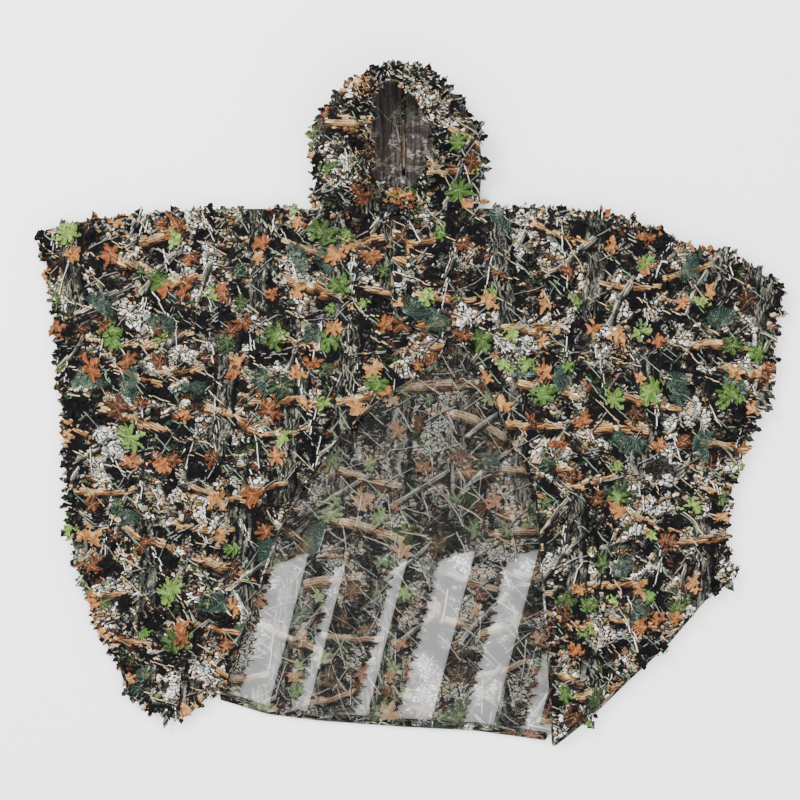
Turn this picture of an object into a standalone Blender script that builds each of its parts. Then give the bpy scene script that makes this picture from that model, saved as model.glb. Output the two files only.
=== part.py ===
"""Hooded leaf-cut camouflage poncho, lying flat on its back.

Run with: blender --background --python part.py
Metres, +Z up. The floor is Z = 0, the wearer's head is towards +Y, the wearer's left is
towards +X and the front of the garment faces +Z. The two fronts turn up about one line
through the shoulders, and the hood turns up about the neck seam.
"""

import math

import bmesh
import bpy
import numpy as np
from mathutils import Matrix, Vector

# Driving dimensions of the whole garment.
HALF_WIDTH = 0.747
HALF_LENGTH = 0.690
GAP = 0.0003

# Cloth thicknesses.
MESH_CLOTH = 0.002
LEAF_CLOTH = 0.006
BINDING_RADIUS = 0.003
BINDING_REACH = 0.94
HEM_RADIUS = 0.004

# Heights of the undersides of the flat layers, from the floor up.
BACK_LEAF_Z = 0.0
BACK_PANEL_Z = LEAF_CLOTH + GAP
RIGHT_PANEL_Z = 0.020
LEFT_PANEL_Z = 0.031

# Shoulder line, which the fronts turn about, and neck line, which the hood turns about.
SHOULDER_Y = 0.385
SHOULDER_Z = 0.036
NECK_Z = 0.008
PANEL_TOP_Y = 0.368
LEAF_TOP_Y = 0.345
NECK_END_LEFT = 0.165
NECK_END_RIGHT = -0.195
SHOULDER_ROLL = 0.011
SHOULDER_ROLL_Z = 0.0195

# Placket and press stud.
PLACKET_BOTTOM_Y = 0.195
PLACKET_WIDTH = 0.028
FRONT_EDGE_X = -0.033
STUD_X = -0.0205
STUD_Y = 0.247
CAP_RADIUS = 0.009
STEM_RADIUS = 0.0018
STEM_HOLE = 0.0024

# Hood: a squashed, long dome that gets lower towards the neck.
HOOD_X = -0.018
HOOD_Y = 0.470
HOOD_Z = 0.060
HOOD_RADII = (0.170, HALF_LENGTH - HOOD_Y, 0.059)
HOOD_FLOOR = 0.001
HOOD_NECK_Y = 0.400
HOOD_FULL_Y = 0.540
HOOD_NECK_SQUASH = 0.26
HOOD_LEAST_SQUASH = 0.02
HOOD_MIDDLE = (HOOD_X, 0.530, 0.042)
HOOD_TAPE_HALF = 0.010

# Outer and inner size of each hood layer, as a share of the hood's outer surface.
LEAVES_SHARE = (1.0, 0.945)
CLOTH_SHARE = (0.920, 0.892)
TAPE_SHARE = (0.875, 0.860)
FACE_X = -0.013
FACE_Y = 0.538
FACE_RADII = (0.064, 0.113)
FACE_DEPTH = 0.200
FACE_Z = 0.134

# Leaf strips: edges across the fronts, and the slanted strips of the back.
RIGHT_STRIP_EDGES = (-0.750, -0.610, -0.470, -0.330, -0.190, -0.042)
LEFT_STRIP_EDGES = (0.005, 0.145, 0.285, 0.430, 0.580, 0.750)
BACK_STRIP_EDGES = [
    (-0.740, -0.673), (-0.6435, -0.577), (-0.547, -0.480), (-0.4505, -0.384),
    (-0.354, -0.288), (-0.2575, -0.187), (-0.122, -0.064), (-0.042, 0.055),
    (0.080, 0.142), (0.212, 0.279), (0.339, 0.402), (0.432, 0.500),
    (0.530, 0.600), (0.630, 0.700),
]
BACK_STRIP_SLANT = 0.26

# Front edges, from the neck down to the hem.
LEFT_FRONT_EDGE = [
    (FRONT_EDGE_X, PANEL_TOP_Y),
    (FRONT_EDGE_X, 0.192),
    (-0.018, 0.166),
    (0.040, 0.138),
    (0.115, 0.112),
    (0.141, 0.057),
    (0.175, -0.003),
    (0.219, -0.103),
    (0.253, -0.165),
    (0.262, -0.275),
    (0.278, -0.480),
    (0.289, -HALF_LENGTH),
]
RIGHT_FRONT_EDGE = [
    (0.020, PANEL_TOP_Y),
    (0.020, 0.205),
    (0.080, 0.125),
    (0.057, 0.083),
    (0.005, 0.043),
    (-0.055, 0.008),
    (-0.129, -0.058),
    (-0.185, -0.135),
    (-0.241, -0.205),
    (-0.300, -0.370),
    (-0.367, -0.575),
]

# Lower edges of the fronts, from the front edge outwards.
LEFT_LOWER_EDGE = [
    (0.289, -HALF_LENGTH),
    (0.363, -0.629),
    (0.443, -0.551),
    (0.520, -0.480),
    (0.592, -0.392),
    (0.660, -0.345),
]
RIGHT_LOWER_EDGE = [
    (-0.367, -0.575),
    (-0.400, -0.585),
    (-0.463, -0.633),
    (-0.517, -0.610),
    (-0.555, -0.588),
    (-0.583, -0.505),
]

# Side edges, from the lower edge up to the shoulder and in along it to the neck.
LEFT_SIDE_EDGE = [
    (0.660, -0.345),
    (0.635, -0.311),
    (0.635, -0.199),
    (0.664, -0.130),
    (0.685, -0.045),
    (0.723, 0.005),
    (0.737, 0.095),
    (HALF_WIDTH, 0.233),
    (0.697, 0.260),
    (0.600, 0.296),
    (0.533, 0.321),
    (0.417, PANEL_TOP_Y),
]
RIGHT_SIDE_EDGE = [
    (-0.583, -0.505),
    (-0.621, -0.455),
    (-0.659, -0.347),
    (-0.679, -0.249),
    (-0.687, -0.091),
    (-0.695, 0.049),
    (-0.721, 0.219),
    (-HALF_WIDTH, 0.330),
    (-0.665, 0.353),
    (-0.485, PANEL_TOP_Y),
]

# The back, anticlockwise from the right end of its hem.
BACK_LOWER_EDGE = [
    (-0.379, -0.585),
    (-0.281, -0.615),
    (-0.179, -0.628),
    (-0.017, -0.640),
    (0.135, -0.648),
    (0.280, -0.668),
]
BACK_UPPER_EDGE = [
    (0.430, -0.545),
    (0.580, -0.390),
    (0.615, -0.330),
    (0.615, -0.200),
    (0.660, -0.050),
    (0.715, 0.080),
    (0.730, 0.220),
    (0.533, 0.321),
    (0.417, PANEL_TOP_Y),
    (-0.485, PANEL_TOP_Y),
    (-0.725, 0.335),
    (-0.680, 0.050),
    (-0.668, -0.200),
    (-0.600, -0.440),
    (-0.500, -0.560),
]

# Colour, roughness and metallic value of each material.
MATERIALS = {
    "camo_mesh": ((0.19, 0.17, 0.14), 0.85, 0.0),
    "camo_leaf": ((0.15, 0.13, 0.09), 0.80, 0.0),
    "binding": ((0.12, 0.11, 0.08), 0.80, 0.0),
    "snap_black": ((0.012, 0.012, 0.014), 0.35, 0.0),
    "snap_metal": ((0.32, 0.31, 0.29), 0.30, 1.0),
}


def clear_scene():
    for item in list(bpy.data.objects):
        bpy.data.objects.remove(item, do_unlink=True)


def make_collection(name):
    collection = bpy.data.collections.new(name)
    bpy.context.scene.collection.children.link(collection)
    return collection


def make_material(name):
    colour, roughness, metallic = MATERIALS[name]
    material = bpy.data.materials.new(name)
    material.use_nodes = True
    shader = material.node_tree.nodes["Principled BSDF"]
    shader.inputs["Base Color"].default_value = (*colour, 1.0)
    shader.inputs["Roughness"].default_value = roughness
    shader.inputs["Metallic"].default_value = metallic
    return material


def place(item, collection, material, joint=None):
    """Link an object, give it its material, and hang it on its joint's empty."""
    collection.objects.link(item)
    if material:
        item.data.materials.append(material)
    if joint:
        bpy.context.view_layer.update()
        item.parent = joint
        item.matrix_parent_inverse = joint.matrix_world.inverted()
    return item


def make_joint(name, y, z, collection):
    """An empty on a joint's axis, which the joint's pieces hang on."""
    empty = bpy.data.objects.new(name, None)
    empty.empty_display_size = 0.05
    empty.location = (0.0, y, z)
    collection.objects.link(empty)
    return empty


def round_shading(mesh):
    mesh.shade_smooth()
    mesh.set_sharp_from_angle(angle=math.radians(40))


def flat_mesh(name, points, z, thickness):
    """A flat outline, thick from z up, as one welded closed mesh."""
    curve = bpy.data.curves.new(name, "CURVE")
    curve.dimensions = "2D"
    curve.fill_mode = "BOTH"
    curve.extrude = thickness / 2
    spline = curve.splines.new("POLY")
    spline.points.add(len(points) - 1)
    for point, (x, y) in zip(spline.points, points):
        point.co = (x, y, 0.0, 1.0)
    spline.use_cyclic_u = True
    outline = bpy.data.objects.new(name, curve)
    bpy.context.scene.collection.objects.link(outline)
    graph = bpy.context.evaluated_depsgraph_get()
    mesh = bpy.data.meshes.new_from_object(outline.evaluated_get(graph))
    bpy.data.objects.remove(outline, do_unlink=True)
    bpy.data.curves.remove(curve)
    shape = bmesh.new()
    shape.from_mesh(mesh)
    bmesh.ops.remove_doubles(shape, verts=shape.verts, dist=0.00001)
    bmesh.ops.translate(shape, verts=shape.verts, vec=(0.0, 0.0, z + thickness / 2))
    bmesh.ops.recalc_face_normals(shape, faces=shape.faces)
    shape.to_mesh(mesh)
    shape.free()
    return mesh


def trim(mesh, cuts):
    """Keep the part of a closed mesh behind each cutting plane, and close the cuts."""
    shape = bmesh.new()
    shape.from_mesh(mesh)
    for point, normal in cuts:
        everything = shape.verts[:] + shape.edges[:] + shape.faces[:]
        bmesh.ops.bisect_plane(
            shape, geom=everything, plane_co=point, plane_no=normal, clear_outer=True)
        open_edges = [edge for edge in shape.edges if edge.is_boundary]
        if open_edges:
            bmesh.ops.holes_fill(shape, edges=open_edges, sides=0)
    bmesh.ops.recalc_face_normals(shape, faces=shape.faces)
    bmesh.ops.triangulate(shape, faces=shape.faces)
    shape.to_mesh(mesh)
    shape.free()
    return mesh


def make_flat(name, points, z, thickness, collection, material, joint=None, cuts=()):
    mesh = trim(flat_mesh(name, points, z, thickness), cuts)
    return place(bpy.data.objects.new(name, mesh), collection, material, joint)


def offset_path(points, distance):
    """The path moved to the right of the way it runs, with mitred corners."""
    path = np.array(points)
    along = np.diff(path, axis=0)
    along /= np.linalg.norm(along, axis=1)[:, None]
    side = np.stack([along[:, 1], -along[:, 0]], axis=1)
    before = np.vstack([side[:1], side])
    after = np.vstack([side, side[-1:]])
    mitre = (before + after) / (1.0 + np.sum(before * after, axis=1))[:, None]
    return path + mitre * distance


def make_tube(name, points, z, radius, collection, material, joint=None, closed=False):
    """A round cord of cloth along a path; z is one height or a height for each point."""
    curve = bpy.data.curves.new(name, "CURVE")
    curve.dimensions = "3D"
    curve.bevel_depth = radius
    curve.bevel_resolution = 2
    curve.use_fill_caps = True
    spline = curve.splines.new("POLY")
    spline.points.add(len(points) - 1)
    heights = np.broadcast_to(z, len(points))
    for point, (x, y), height in zip(spline.points, points, heights):
        point.co = (x, y, height, 1.0)
    spline.use_cyclic_u = closed
    return place(bpy.data.objects.new(name, curve), collection, material, joint)


def make_turned(name, profile, x, y, collection, material, joint=None, segments=28):
    """A closed profile of (radius, height) points turned about an upright axis."""
    mesh = bpy.data.meshes.new(name)
    points = [(radius, 0.0, height) for radius, height in profile]
    on_axis = profile[0][0] == 0.0
    edges = [(i, i + 1) for i in range(len(points) - 1)]
    if not on_axis:
        edges.append((len(points) - 1, 0))
    mesh.from_pydata(points, edges, [])
    item = bpy.data.objects.new(name, mesh)
    item.location = (x, y, 0.0)
    screw = item.modifiers.new("Turn", "SCREW")
    screw.axis = "Z"
    screw.steps = segments
    screw.render_steps = segments
    screw.use_merge_vertices = True
    screw.merge_threshold = 0.00001
    screw.use_smooth_shade = True
    return place(item, collection, material, joint)


def make_cutter(name, radii, height, location, collection, foot_slope=0.0):
    """An upright elliptical cylinder that cuts other pieces; its foot may rise along Y."""
    mesh = bpy.data.meshes.new(name)
    shape = bmesh.new()
    bmesh.ops.create_cone(
        shape, cap_ends=True, segments=32, radius1=1.0, radius2=1.0, depth=height)
    bmesh.ops.scale(shape, verts=shape.verts, vec=(radii[0], radii[1], 1.0))
    for vert in shape.verts:
        if vert.co.z < 0.0:
            vert.co.z += foot_slope * vert.co.y
    shape.to_mesh(mesh)
    shape.free()
    cutter = bpy.data.objects.new(name, mesh)
    cutter.location = location
    cutter.hide_render = True
    cutter.display_type = "WIRE"
    collection.objects.link(cutter)
    return cutter


def cut_with(item, cutter):
    boolean = item.modifiers.new("Cut", "BOOLEAN")
    boolean.operation = "DIFFERENCE"
    boolean.solver = "EXACT"
    boolean.object = cutter


def hood_squash(y):
    """How much of its full height the hood keeps at y: less towards the neck."""
    rise = (np.asarray(y) - HOOD_NECK_Y) / (HOOD_FULL_Y - HOOD_NECK_Y)
    squash = HOOD_NECK_SQUASH + (1.0 - HOOD_NECK_SQUASH) * rise
    return np.clip(squash, HOOD_LEAST_SQUASH, 1.0)


def hood_top(x, y):
    """Height of the hood's outer surface above a point."""
    reach = ((x - HOOD_X) / HOOD_RADII[0]) ** 2 + ((y - HOOD_Y) / HOOD_RADII[1]) ** 2
    top = HOOD_Z + HOOD_RADII[2] * np.sqrt(np.clip(1.0 - reach, 0.0, 1.0))
    return HOOD_FLOOR + (top - HOOD_FLOOR) * hood_squash(y)


def hood_dome(name, share):
    """The hood's dome as a closed mesh, shrunk to a share of its size about its middle."""
    shape = bmesh.new()
    poles_along_y = Matrix.Rotation(math.radians(-90), 4, "X")
    bmesh.ops.create_uvsphere(
        shape, u_segments=28, v_segments=18, radius=1.0, matrix=poles_along_y)
    bmesh.ops.scale(shape, verts=shape.verts, vec=HOOD_RADII)
    bmesh.ops.translate(shape, verts=shape.verts, vec=(HOOD_X, HOOD_Y, HOOD_Z))
    middle = Vector(HOOD_MIDDLE)
    for vert in shape.verts:
        squash = float(hood_squash(vert.co.y))
        vert.co.z = HOOD_FLOOR + (vert.co.z - HOOD_FLOOR) * squash
        vert.co = middle + (vert.co - middle) * share
    mesh = bpy.data.meshes.new(name)
    shape.to_mesh(mesh)
    shape.free()
    return mesh


def make_hood_shell(name, shares, face, cuts, collections, material, joint):
    """One layer of the hood, trimmed, then cut with its hollow and the face opening."""
    parts, cutters = collections
    hollow = bpy.data.objects.new(f"{name}_hollow", hood_dome(f"{name}_hollow", shares[1]))
    hollow.hide_render = True
    hollow.display_type = "WIRE"
    cutters.objects.link(hollow)
    mesh = trim(hood_dome(name, shares[0]), cuts)
    round_shading(mesh)
    item = bpy.data.objects.new(name, mesh)
    cut_with(item, hollow)
    cut_with(item, face)
    return place(item, parts, material, joint)


def make_back(parts, materials):
    mesh_cloth = materials["camo_mesh"]
    leaf = materials["camo_leaf"]
    binding = materials["binding"]
    outline = BACK_LOWER_EDGE + BACK_UPPER_EDGE
    make_flat("back_panel", outline, BACK_PANEL_Z, MESH_CLOTH, parts, mesh_cloth)
    for index, (low, high) in enumerate(BACK_STRIP_EDGES):
        cuts = [
            ((low, 0.0, 0.0), (-1.0, BACK_STRIP_SLANT, 0.0)),
            ((high, 0.0, 0.0), (1.0, -BACK_STRIP_SLANT, 0.0)),
        ]
        name = f"back_leaf_strip_{index + 1}"
        make_flat(name, outline, BACK_LEAF_Z, LEAF_CLOTH, parts, leaf, cuts=cuts)
    hem_path = offset_path(BACK_LOWER_EDGE, HEM_RADIUS + GAP)
    hem_z = HEM_RADIUS + GAP
    make_tube("back_hem", hem_path, hem_z, HEM_RADIUS, parts, binding)
    roll_out = SHOULDER_ROLL + 2 * GAP
    left = [(NECK_END_LEFT, PANEL_TOP_Y)] + LEFT_SIDE_EDGE[:-3:-1]
    right = [(NECK_END_RIGHT, PANEL_TOP_Y)] + RIGHT_SIDE_EDGE[:-3:-1]
    for side, line, outward in (("left", left, -roll_out), ("right", right, roll_out)):
        make_tube(f"{side}_shoulder_fold", offset_path(line, outward), SHOULDER_ROLL_Z,
                  SHOULDER_ROLL, parts, mesh_cloth)
    tape = [(HOOD_X - 0.150, PANEL_TOP_Y + 0.010), (HOOD_X + 0.150, PANEL_TOP_Y + 0.010)]
    make_tube("neck_seam_tape", tape, NECK_Z, HEM_RADIUS, parts, binding)


def make_front(side, edge, lower, outer, z, strip_edges, parts, materials, joint, hole):
    """One front: mesh base, leaf strips, placket and bound edges."""
    outline = edge + lower[1:] + outer[1:]
    panel = make_flat(f"{side}_front_panel", outline, z, MESH_CLOTH, parts,
                      materials["camo_mesh"], joint)
    cut_with(panel, hole)
    top_z = z + MESH_CLOTH + GAP
    below_top = ((0.0, LEAF_TOP_Y, 0.0), (0.0, 1.0, 0.0))
    for index, (low, high) in enumerate(zip(strip_edges[:-1], strip_edges[1:])):
        cuts = [
            ((low + GAP, 0.0, 0.0), (-1.0, 0.0, 0.0)),
            ((high - GAP, 0.0, 0.0), (1.0, 0.0, 0.0)),
            below_top,
        ]
        make_flat(f"{side}_front_leaf_strip_{index + 1}", outline, top_z, LEAF_CLOTH,
                  parts, materials["camo_leaf"], joint, cuts)
    placket_low = FRONT_EDGE_X + GAP
    placket = [
        (placket_low, PLACKET_BOTTOM_Y),
        (placket_low + PLACKET_WIDTH, PLACKET_BOTTOM_Y),
        (placket_low + PLACKET_WIDTH, PANEL_TOP_Y),
        (placket_low, PANEL_TOP_Y),
    ]
    facing = make_flat(f"{side}_placket", placket, top_z, MESH_CLOTH, parts,
                       materials["binding"], joint)
    cut_with(facing, hole)
    middle = z + MESH_CLOTH / 2
    sideways = -1.0 if side == "right" else 1.0
    for name, line in (("binding", edge), ("hem", lower)):
        path = offset_path(line, sideways * (BINDING_RADIUS + GAP))
        if name == "hem":
            path = path[1:]
        path[-1] = path[-2] + (path[-1] - path[-2]) * BINDING_REACH
        make_tube(f"{side}_front_{name}", path, middle, BINDING_RADIUS, parts,
                  materials["binding"], joint)


def make_right_underlap(parts, material, joint):
    """The last leaf strip of the right front, below its placket and under the left one."""
    outline = RIGHT_FRONT_EDGE + RIGHT_LOWER_EDGE[1:] + RIGHT_SIDE_EDGE[1:]
    cuts = [
        ((RIGHT_STRIP_EDGES[-1] + GAP, 0.0, 0.0), (-1.0, 0.0, 0.0)),
        ((0.0, PLACKET_BOTTOM_Y - GAP, 0.0), (0.0, 1.0, 0.0)),
    ]
    name = f"right_front_leaf_strip_{len(RIGHT_STRIP_EDGES)}"
    top_z = RIGHT_PANEL_Z + MESH_CLOTH + GAP
    make_flat(name, outline, top_z, LEAF_CLOTH, parts, material, joint, cuts)


def make_snap(parts, materials, left_joint, right_joint):
    """A press stud: cap and socket on the left front, stud and post on the right."""
    black = materials["snap_black"]
    metal = materials["snap_metal"]
    right_top = RIGHT_PANEL_Z + 2 * (MESH_CLOTH + GAP)
    left_top = LEFT_PANEL_Z + 2 * (MESH_CLOTH + GAP)
    left_under = LEFT_PANEL_Z - GAP
    bore = STEM_RADIUS + 0.0002
    stud_top = left_under - 0.0014
    cap = [
        (0.0, left_top + 0.0038),
        (CAP_RADIUS * 0.35, left_top + 0.0037),
        (CAP_RADIUS * 0.70, left_top + 0.0030),
        (CAP_RADIUS * 0.92, left_top + 0.0019),
        (CAP_RADIUS, left_top + 0.0008),
        (CAP_RADIUS * 0.97, left_top),
        (STEM_RADIUS, left_top),
        (STEM_RADIUS, left_under - 0.0007),
        (0.0, left_under - 0.0007),
    ]
    socket = [
        (0.0064, left_under),
        (0.0064, left_under - 0.0016),
        (0.0054, left_under - 0.0034),
        (0.0040, left_under - 0.0034),
        (0.0039, left_under - 0.0010),
        (bore, left_under - 0.0010),
        (bore, left_under),
    ]
    stud = [
        (0.0034, stud_top),
        (0.0035, stud_top - 0.0010),
        (0.0031, stud_top - 0.0022),
        (0.0033, right_top + 0.0009),
        (0.0060, right_top + 0.0007),
        (0.0060, right_top),
        (bore, right_top),
        (bore, stud_top),
    ]
    post_top = right_top + 0.0020
    post = [
        (0.0, post_top),
        (STEM_RADIUS, post_top),
        (STEM_RADIUS, RIGHT_PANEL_Z - GAP),
        (0.0058, RIGHT_PANEL_Z - GAP),
        (0.0060, RIGHT_PANEL_Z - 0.0009),
        (0.0050, RIGHT_PANEL_Z - 0.0016),
        (0.0, RIGHT_PANEL_Z - 0.0016),
    ]
    make_turned("snap_cap", cap, STUD_X, STUD_Y, parts, black, left_joint)
    make_turned("snap_socket", socket, STUD_X, STUD_Y, parts, metal, left_joint)
    make_turned("snap_stud", stud, STUD_X, STUD_Y, parts, metal, right_joint)
    make_turned("snap_post", post, STUD_X, STUD_Y, parts, metal, right_joint)


def make_hood(parts, cutters, materials, joint):
    """Two leaf-covered halves, the tape over their seam and the bound face opening."""
    face = make_cutter("face_cutter", FACE_RADII, FACE_DEPTH, (FACE_X, FACE_Y, FACE_Z),
                       cutters, foot_slope=0.10)
    both = (parts, cutters)
    neck = ((0.0, HOOD_NECK_Y, 0.0), (0.0, -1.0, 0.0))
    for side, sign in (("left", 1.0), ("right", -1.0)):
        cuts = [neck, ((HOOD_X + sign * GAP, 0.0, 0.0), (-sign, 0.0, 0.0))]
        make_hood_shell(f"hood_{side}_leaves", LEAVES_SHARE, face, cuts, both,
                        materials["camo_leaf"], joint)
        make_hood_shell(f"hood_{side}_panel", CLOTH_SHARE, face, cuts, both,
                        materials["camo_mesh"], joint)
    tape_cuts = [
        neck,
        ((HOOD_X - HOOD_TAPE_HALF, 0.0, 0.0), (-1.0, 0.0, 0.0)),
        ((HOOD_X + HOOD_TAPE_HALF, 0.0, 0.0), (1.0, 0.0, 0.0)),
        ((0.0, HOOD_NECK_Y, 0.012), (0.0, -1.0, 1.5)),
    ]
    make_hood_shell("hood_centre_tape", TAPE_SHARE, face, tape_cuts, both,
                    materials["binding"], joint)
    turns = np.linspace(0.0, 2 * math.pi, 48, endpoint=False)
    inset = BINDING_RADIUS + 0.0012
    ring_x = FACE_X + (FACE_RADII[0] - inset) * np.cos(turns)
    ring_y = FACE_Y + (FACE_RADII[1] - inset) * np.sin(turns)
    ring_z = hood_top(ring_x, ring_y) - BINDING_RADIUS
    make_tube("hood_brim_binding", np.stack([ring_x, ring_y], axis=1), ring_z,
              BINDING_RADIUS, parts, materials["binding"], joint, closed=True)


def build():
    clear_scene()
    parts = make_collection("hooded_poncho")
    cutters = make_collection("cutters")
    materials = {name: make_material(name) for name in MATERIALS}
    left_joint = make_joint("left_front_joint", SHOULDER_Y, SHOULDER_Z, parts)
    right_joint = make_joint("right_front_joint", SHOULDER_Y, SHOULDER_Z, parts)
    hood_joint = make_joint("hood_joint", SHOULDER_Y, NECK_Z, parts)
    hole = make_cutter("stem_cutter", (STEM_HOLE, STEM_HOLE), 0.1,
                       (STUD_X, STUD_Y, LEFT_PANEL_Z), cutters)
    make_back(parts, materials)
    make_front("right", RIGHT_FRONT_EDGE, RIGHT_LOWER_EDGE, RIGHT_SIDE_EDGE,
               RIGHT_PANEL_Z, RIGHT_STRIP_EDGES, parts, materials, right_joint, hole)
    make_right_underlap(parts, materials["camo_leaf"], right_joint)
    make_front("left", LEFT_FRONT_EDGE, LEFT_LOWER_EDGE, LEFT_SIDE_EDGE,
               LEFT_PANEL_Z, LEFT_STRIP_EDGES, parts, materials, left_joint, hole)
    make_snap(parts, materials, left_joint, right_joint)
    make_hood(parts, cutters, materials, hood_joint)


build()
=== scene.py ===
import math

import bmesh
import bpy
import numpy as np
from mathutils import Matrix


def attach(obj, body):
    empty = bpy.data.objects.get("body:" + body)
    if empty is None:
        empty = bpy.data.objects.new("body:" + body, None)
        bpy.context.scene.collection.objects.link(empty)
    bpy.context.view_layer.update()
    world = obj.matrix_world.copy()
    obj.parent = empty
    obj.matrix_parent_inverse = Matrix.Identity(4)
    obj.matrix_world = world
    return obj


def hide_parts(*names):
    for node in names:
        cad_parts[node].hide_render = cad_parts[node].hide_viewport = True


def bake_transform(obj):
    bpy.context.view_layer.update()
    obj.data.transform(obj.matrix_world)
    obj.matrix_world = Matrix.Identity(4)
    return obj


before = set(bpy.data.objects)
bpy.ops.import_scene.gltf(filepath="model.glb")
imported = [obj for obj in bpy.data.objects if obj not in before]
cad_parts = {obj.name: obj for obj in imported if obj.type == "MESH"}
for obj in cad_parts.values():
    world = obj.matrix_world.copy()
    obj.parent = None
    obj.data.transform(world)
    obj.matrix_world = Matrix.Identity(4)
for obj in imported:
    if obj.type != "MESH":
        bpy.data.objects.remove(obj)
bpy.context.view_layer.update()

# A hooded leaf-cut camouflage poncho, lying on its back: wearer's head towards +Y,
# wearer's left towards +X. Everything is in metres.
print("frame loaded,", len(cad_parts), "nodes")


# Camera, floor and lights.
studio = {
    "middle": (-0.017, 0.005), "cameraHeight": 3.80, "lens": 85.0,
    "floorTone": (0.97, 0.97, 0.97), "skyStrength": 2.7,
    "keyPower": 190.0, "fillPower": 40.0,
}


def areaLight(name, place, aim, size, power):
    lamp = bpy.data.lights.new(name, "AREA")
    lamp.energy = power
    lamp.size = size
    item = bpy.data.objects.new(name, lamp)
    bpy.context.scene.collection.objects.link(item)
    item.location = place
    reach = np.array(aim, float) - np.array(place, float)
    item.rotation_euler = (
        math.atan2(math.hypot(reach[0], reach[1]), -reach[2]), 0.0,
        math.atan2(-reach[0], reach[1]) if abs(reach[0]) + abs(reach[1]) > 1e-6 else 0.0)
    return item


def setStudio():
    scene = bpy.context.scene
    lens = bpy.data.cameras.new("camera")
    lens.lens = studio["lens"]
    lens.sensor_width = 36.0
    lens.clip_end = 60.0
    camera = bpy.data.objects.new("camera", lens)
    camera.location = (*studio["middle"], studio["cameraHeight"])
    scene.collection.objects.link(camera)
    scene.camera = camera
    # soft key from the upper left, weaker fill from the lower right
    areaLight("keyLight", (-1.9, 2.1, 2.6), (0, 0, 0), 1.6, studio["keyPower"])
    areaLight("fillLight", (2.2, -1.6, 2.4), (0, 0, 0), 2.4, studio["fillPower"])
    world = bpy.data.worlds.new("studio")
    world.use_nodes = True
    sky = world.node_tree.nodes["Background"]
    sky.inputs["Color"].default_value = (1.0, 1.0, 1.0, 1.0)
    sky.inputs["Strength"].default_value = studio["skyStrength"]
    scene.world = world
    half = 8.0
    mesh = bpy.data.meshes.new("floor")
    mesh.from_pydata([(-half, -half, -0.001), (half, -half, -0.001),
                      (half, half, -0.001), (-half, half, -0.001)], [], [(0, 1, 2, 3)])
    floor = bpy.data.objects.new("floor", mesh)
    scene.collection.objects.link(floor)
    paint = bpy.data.materials.new("floorPaint")
    paint.use_nodes = True
    shader = paint.node_tree.nodes["Principled BSDF"]
    shader.inputs["Base Color"].default_value = (*studio["floorTone"], 1.0)
    shader.inputs["Roughness"].default_value = 0.9
    mesh.materials.append(paint)


setStudio()
print("studio set")


# Node helpers.
def tint(red, green, blue):
    # a screen colour from 0 to 255, as the linear numbers the shaders take
    return tuple(((c / 255.0 + 0.055) / 1.055) ** 2.4 for c in (red, green, blue))


def put(tree, socket, value):
    if isinstance(value, bpy.types.NodeSocket):
        tree.links.new(value, socket)
    elif socket.type == "RGBA" and len(value) == 3:
        socket.default_value = (*value, 1.0)
    else:
        socket.default_value = value


def add(tree, kind, feeds=None, **settings):
    item = tree.nodes.new("ShaderNode" + kind)
    for key, value in settings.items():
        setattr(item, key, value)
    for key, value in (feeds or {}).items():
        put(tree, item.inputs[key], value)
    return item


def calc(tree, how, *values, clamp=False):
    item = add(tree, "Math", dict(enumerate(values)), operation=how, use_clamp=clamp)
    return item.outputs[0]


def vector(tree, how, *values):
    return add(tree, "VectorMath", dict(enumerate(values)), operation=how).outputs[0]


def lengthOf(tree, value):
    return add(tree, "VectorMath", {0: value}, operation="LENGTH").outputs["Value"]


def mixed(tree, share, under, over, how="MIX"):
    item = tree.nodes.new("ShaderNodeMix")
    item.data_type = "RGBA"
    item.blend_type = how
    put(tree, item.inputs[0], share)
    put(tree, item.inputs[6], under)
    put(tree, item.inputs[7], over)
    return item.outputs[2]


def dimmed(tree, paint, amount):
    # the paint times a number, as a mix from black that may pass 1
    item = tree.nodes.new("ShaderNodeMix")
    item.data_type = "RGBA"
    item.clamp_factor = False
    put(tree, item.inputs[0], amount)
    put(tree, item.inputs[6], (0.0, 0.0, 0.0))
    put(tree, item.inputs[7], paint)
    return item.outputs[2]


def ramp(tree, share, stops, steps=False):
    item = add(tree, "ValToRGB", {"Fac": share})
    item.color_ramp.interpolation = "CONSTANT" if steps else "LINEAR"
    marks = item.color_ramp.elements
    marks[0].position, marks[0].color = stops[0][0], (*stops[0][1], 1.0)
    marks[1].position, marks[1].color = stops[-1][0], (*stops[-1][1], 1.0)
    for where, tone in stops[1:-1]:
        marks.new(where).color = (*tone, 1.0)
    return item.outputs[0]


def noise(tree, place, scale, detail=3.0, rough=0.55):
    item = add(tree, "TexNoise", {"Vector": place, "Scale": scale, "Detail": detail,
                                  "Roughness": rough}, noise_dimensions="2D")
    return item.outputs[0]


def wandered(tree, place, scale, reach):
    # the place moved by up to half of reach either way, by noise of that scale
    item = add(tree, "TexNoise", {"Vector": place, "Scale": scale, "Detail": 2.0},
               noise_dimensions="2D")
    parts = add(tree, "SeparateColor", {"Color": item.outputs["Color"]})
    shift = add(tree, "CombineXYZ", {
        "X": calc(tree, "MULTIPLY_ADD", parts.outputs[0], reach, -reach / 2),
        "Y": calc(tree, "MULTIPLY_ADD", parts.outputs[1], reach, -reach / 2)})
    return vector(tree, "ADD", place, shift.outputs[0])


def within(tree, value, edge, soft):
    # 1 where value is under edge, 0 where it is over, soft metres in between
    if isinstance(edge, bpy.types.NodeSocket):
        gap = calc(tree, "SUBTRACT", edge, value)
        return calc(tree, "MULTIPLY_ADD", gap, 1.0 / soft, 0.5, clamp=True)
    return calc(tree, "MULTIPLY_ADD", value, -1.0 / soft, edge / soft + 0.5, clamp=True)


def both(tree, *shares):
    found = shares[0]
    for share in shares[1:]:
        found = calc(tree, "MULTIPLY", found, share)
    return found


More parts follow.
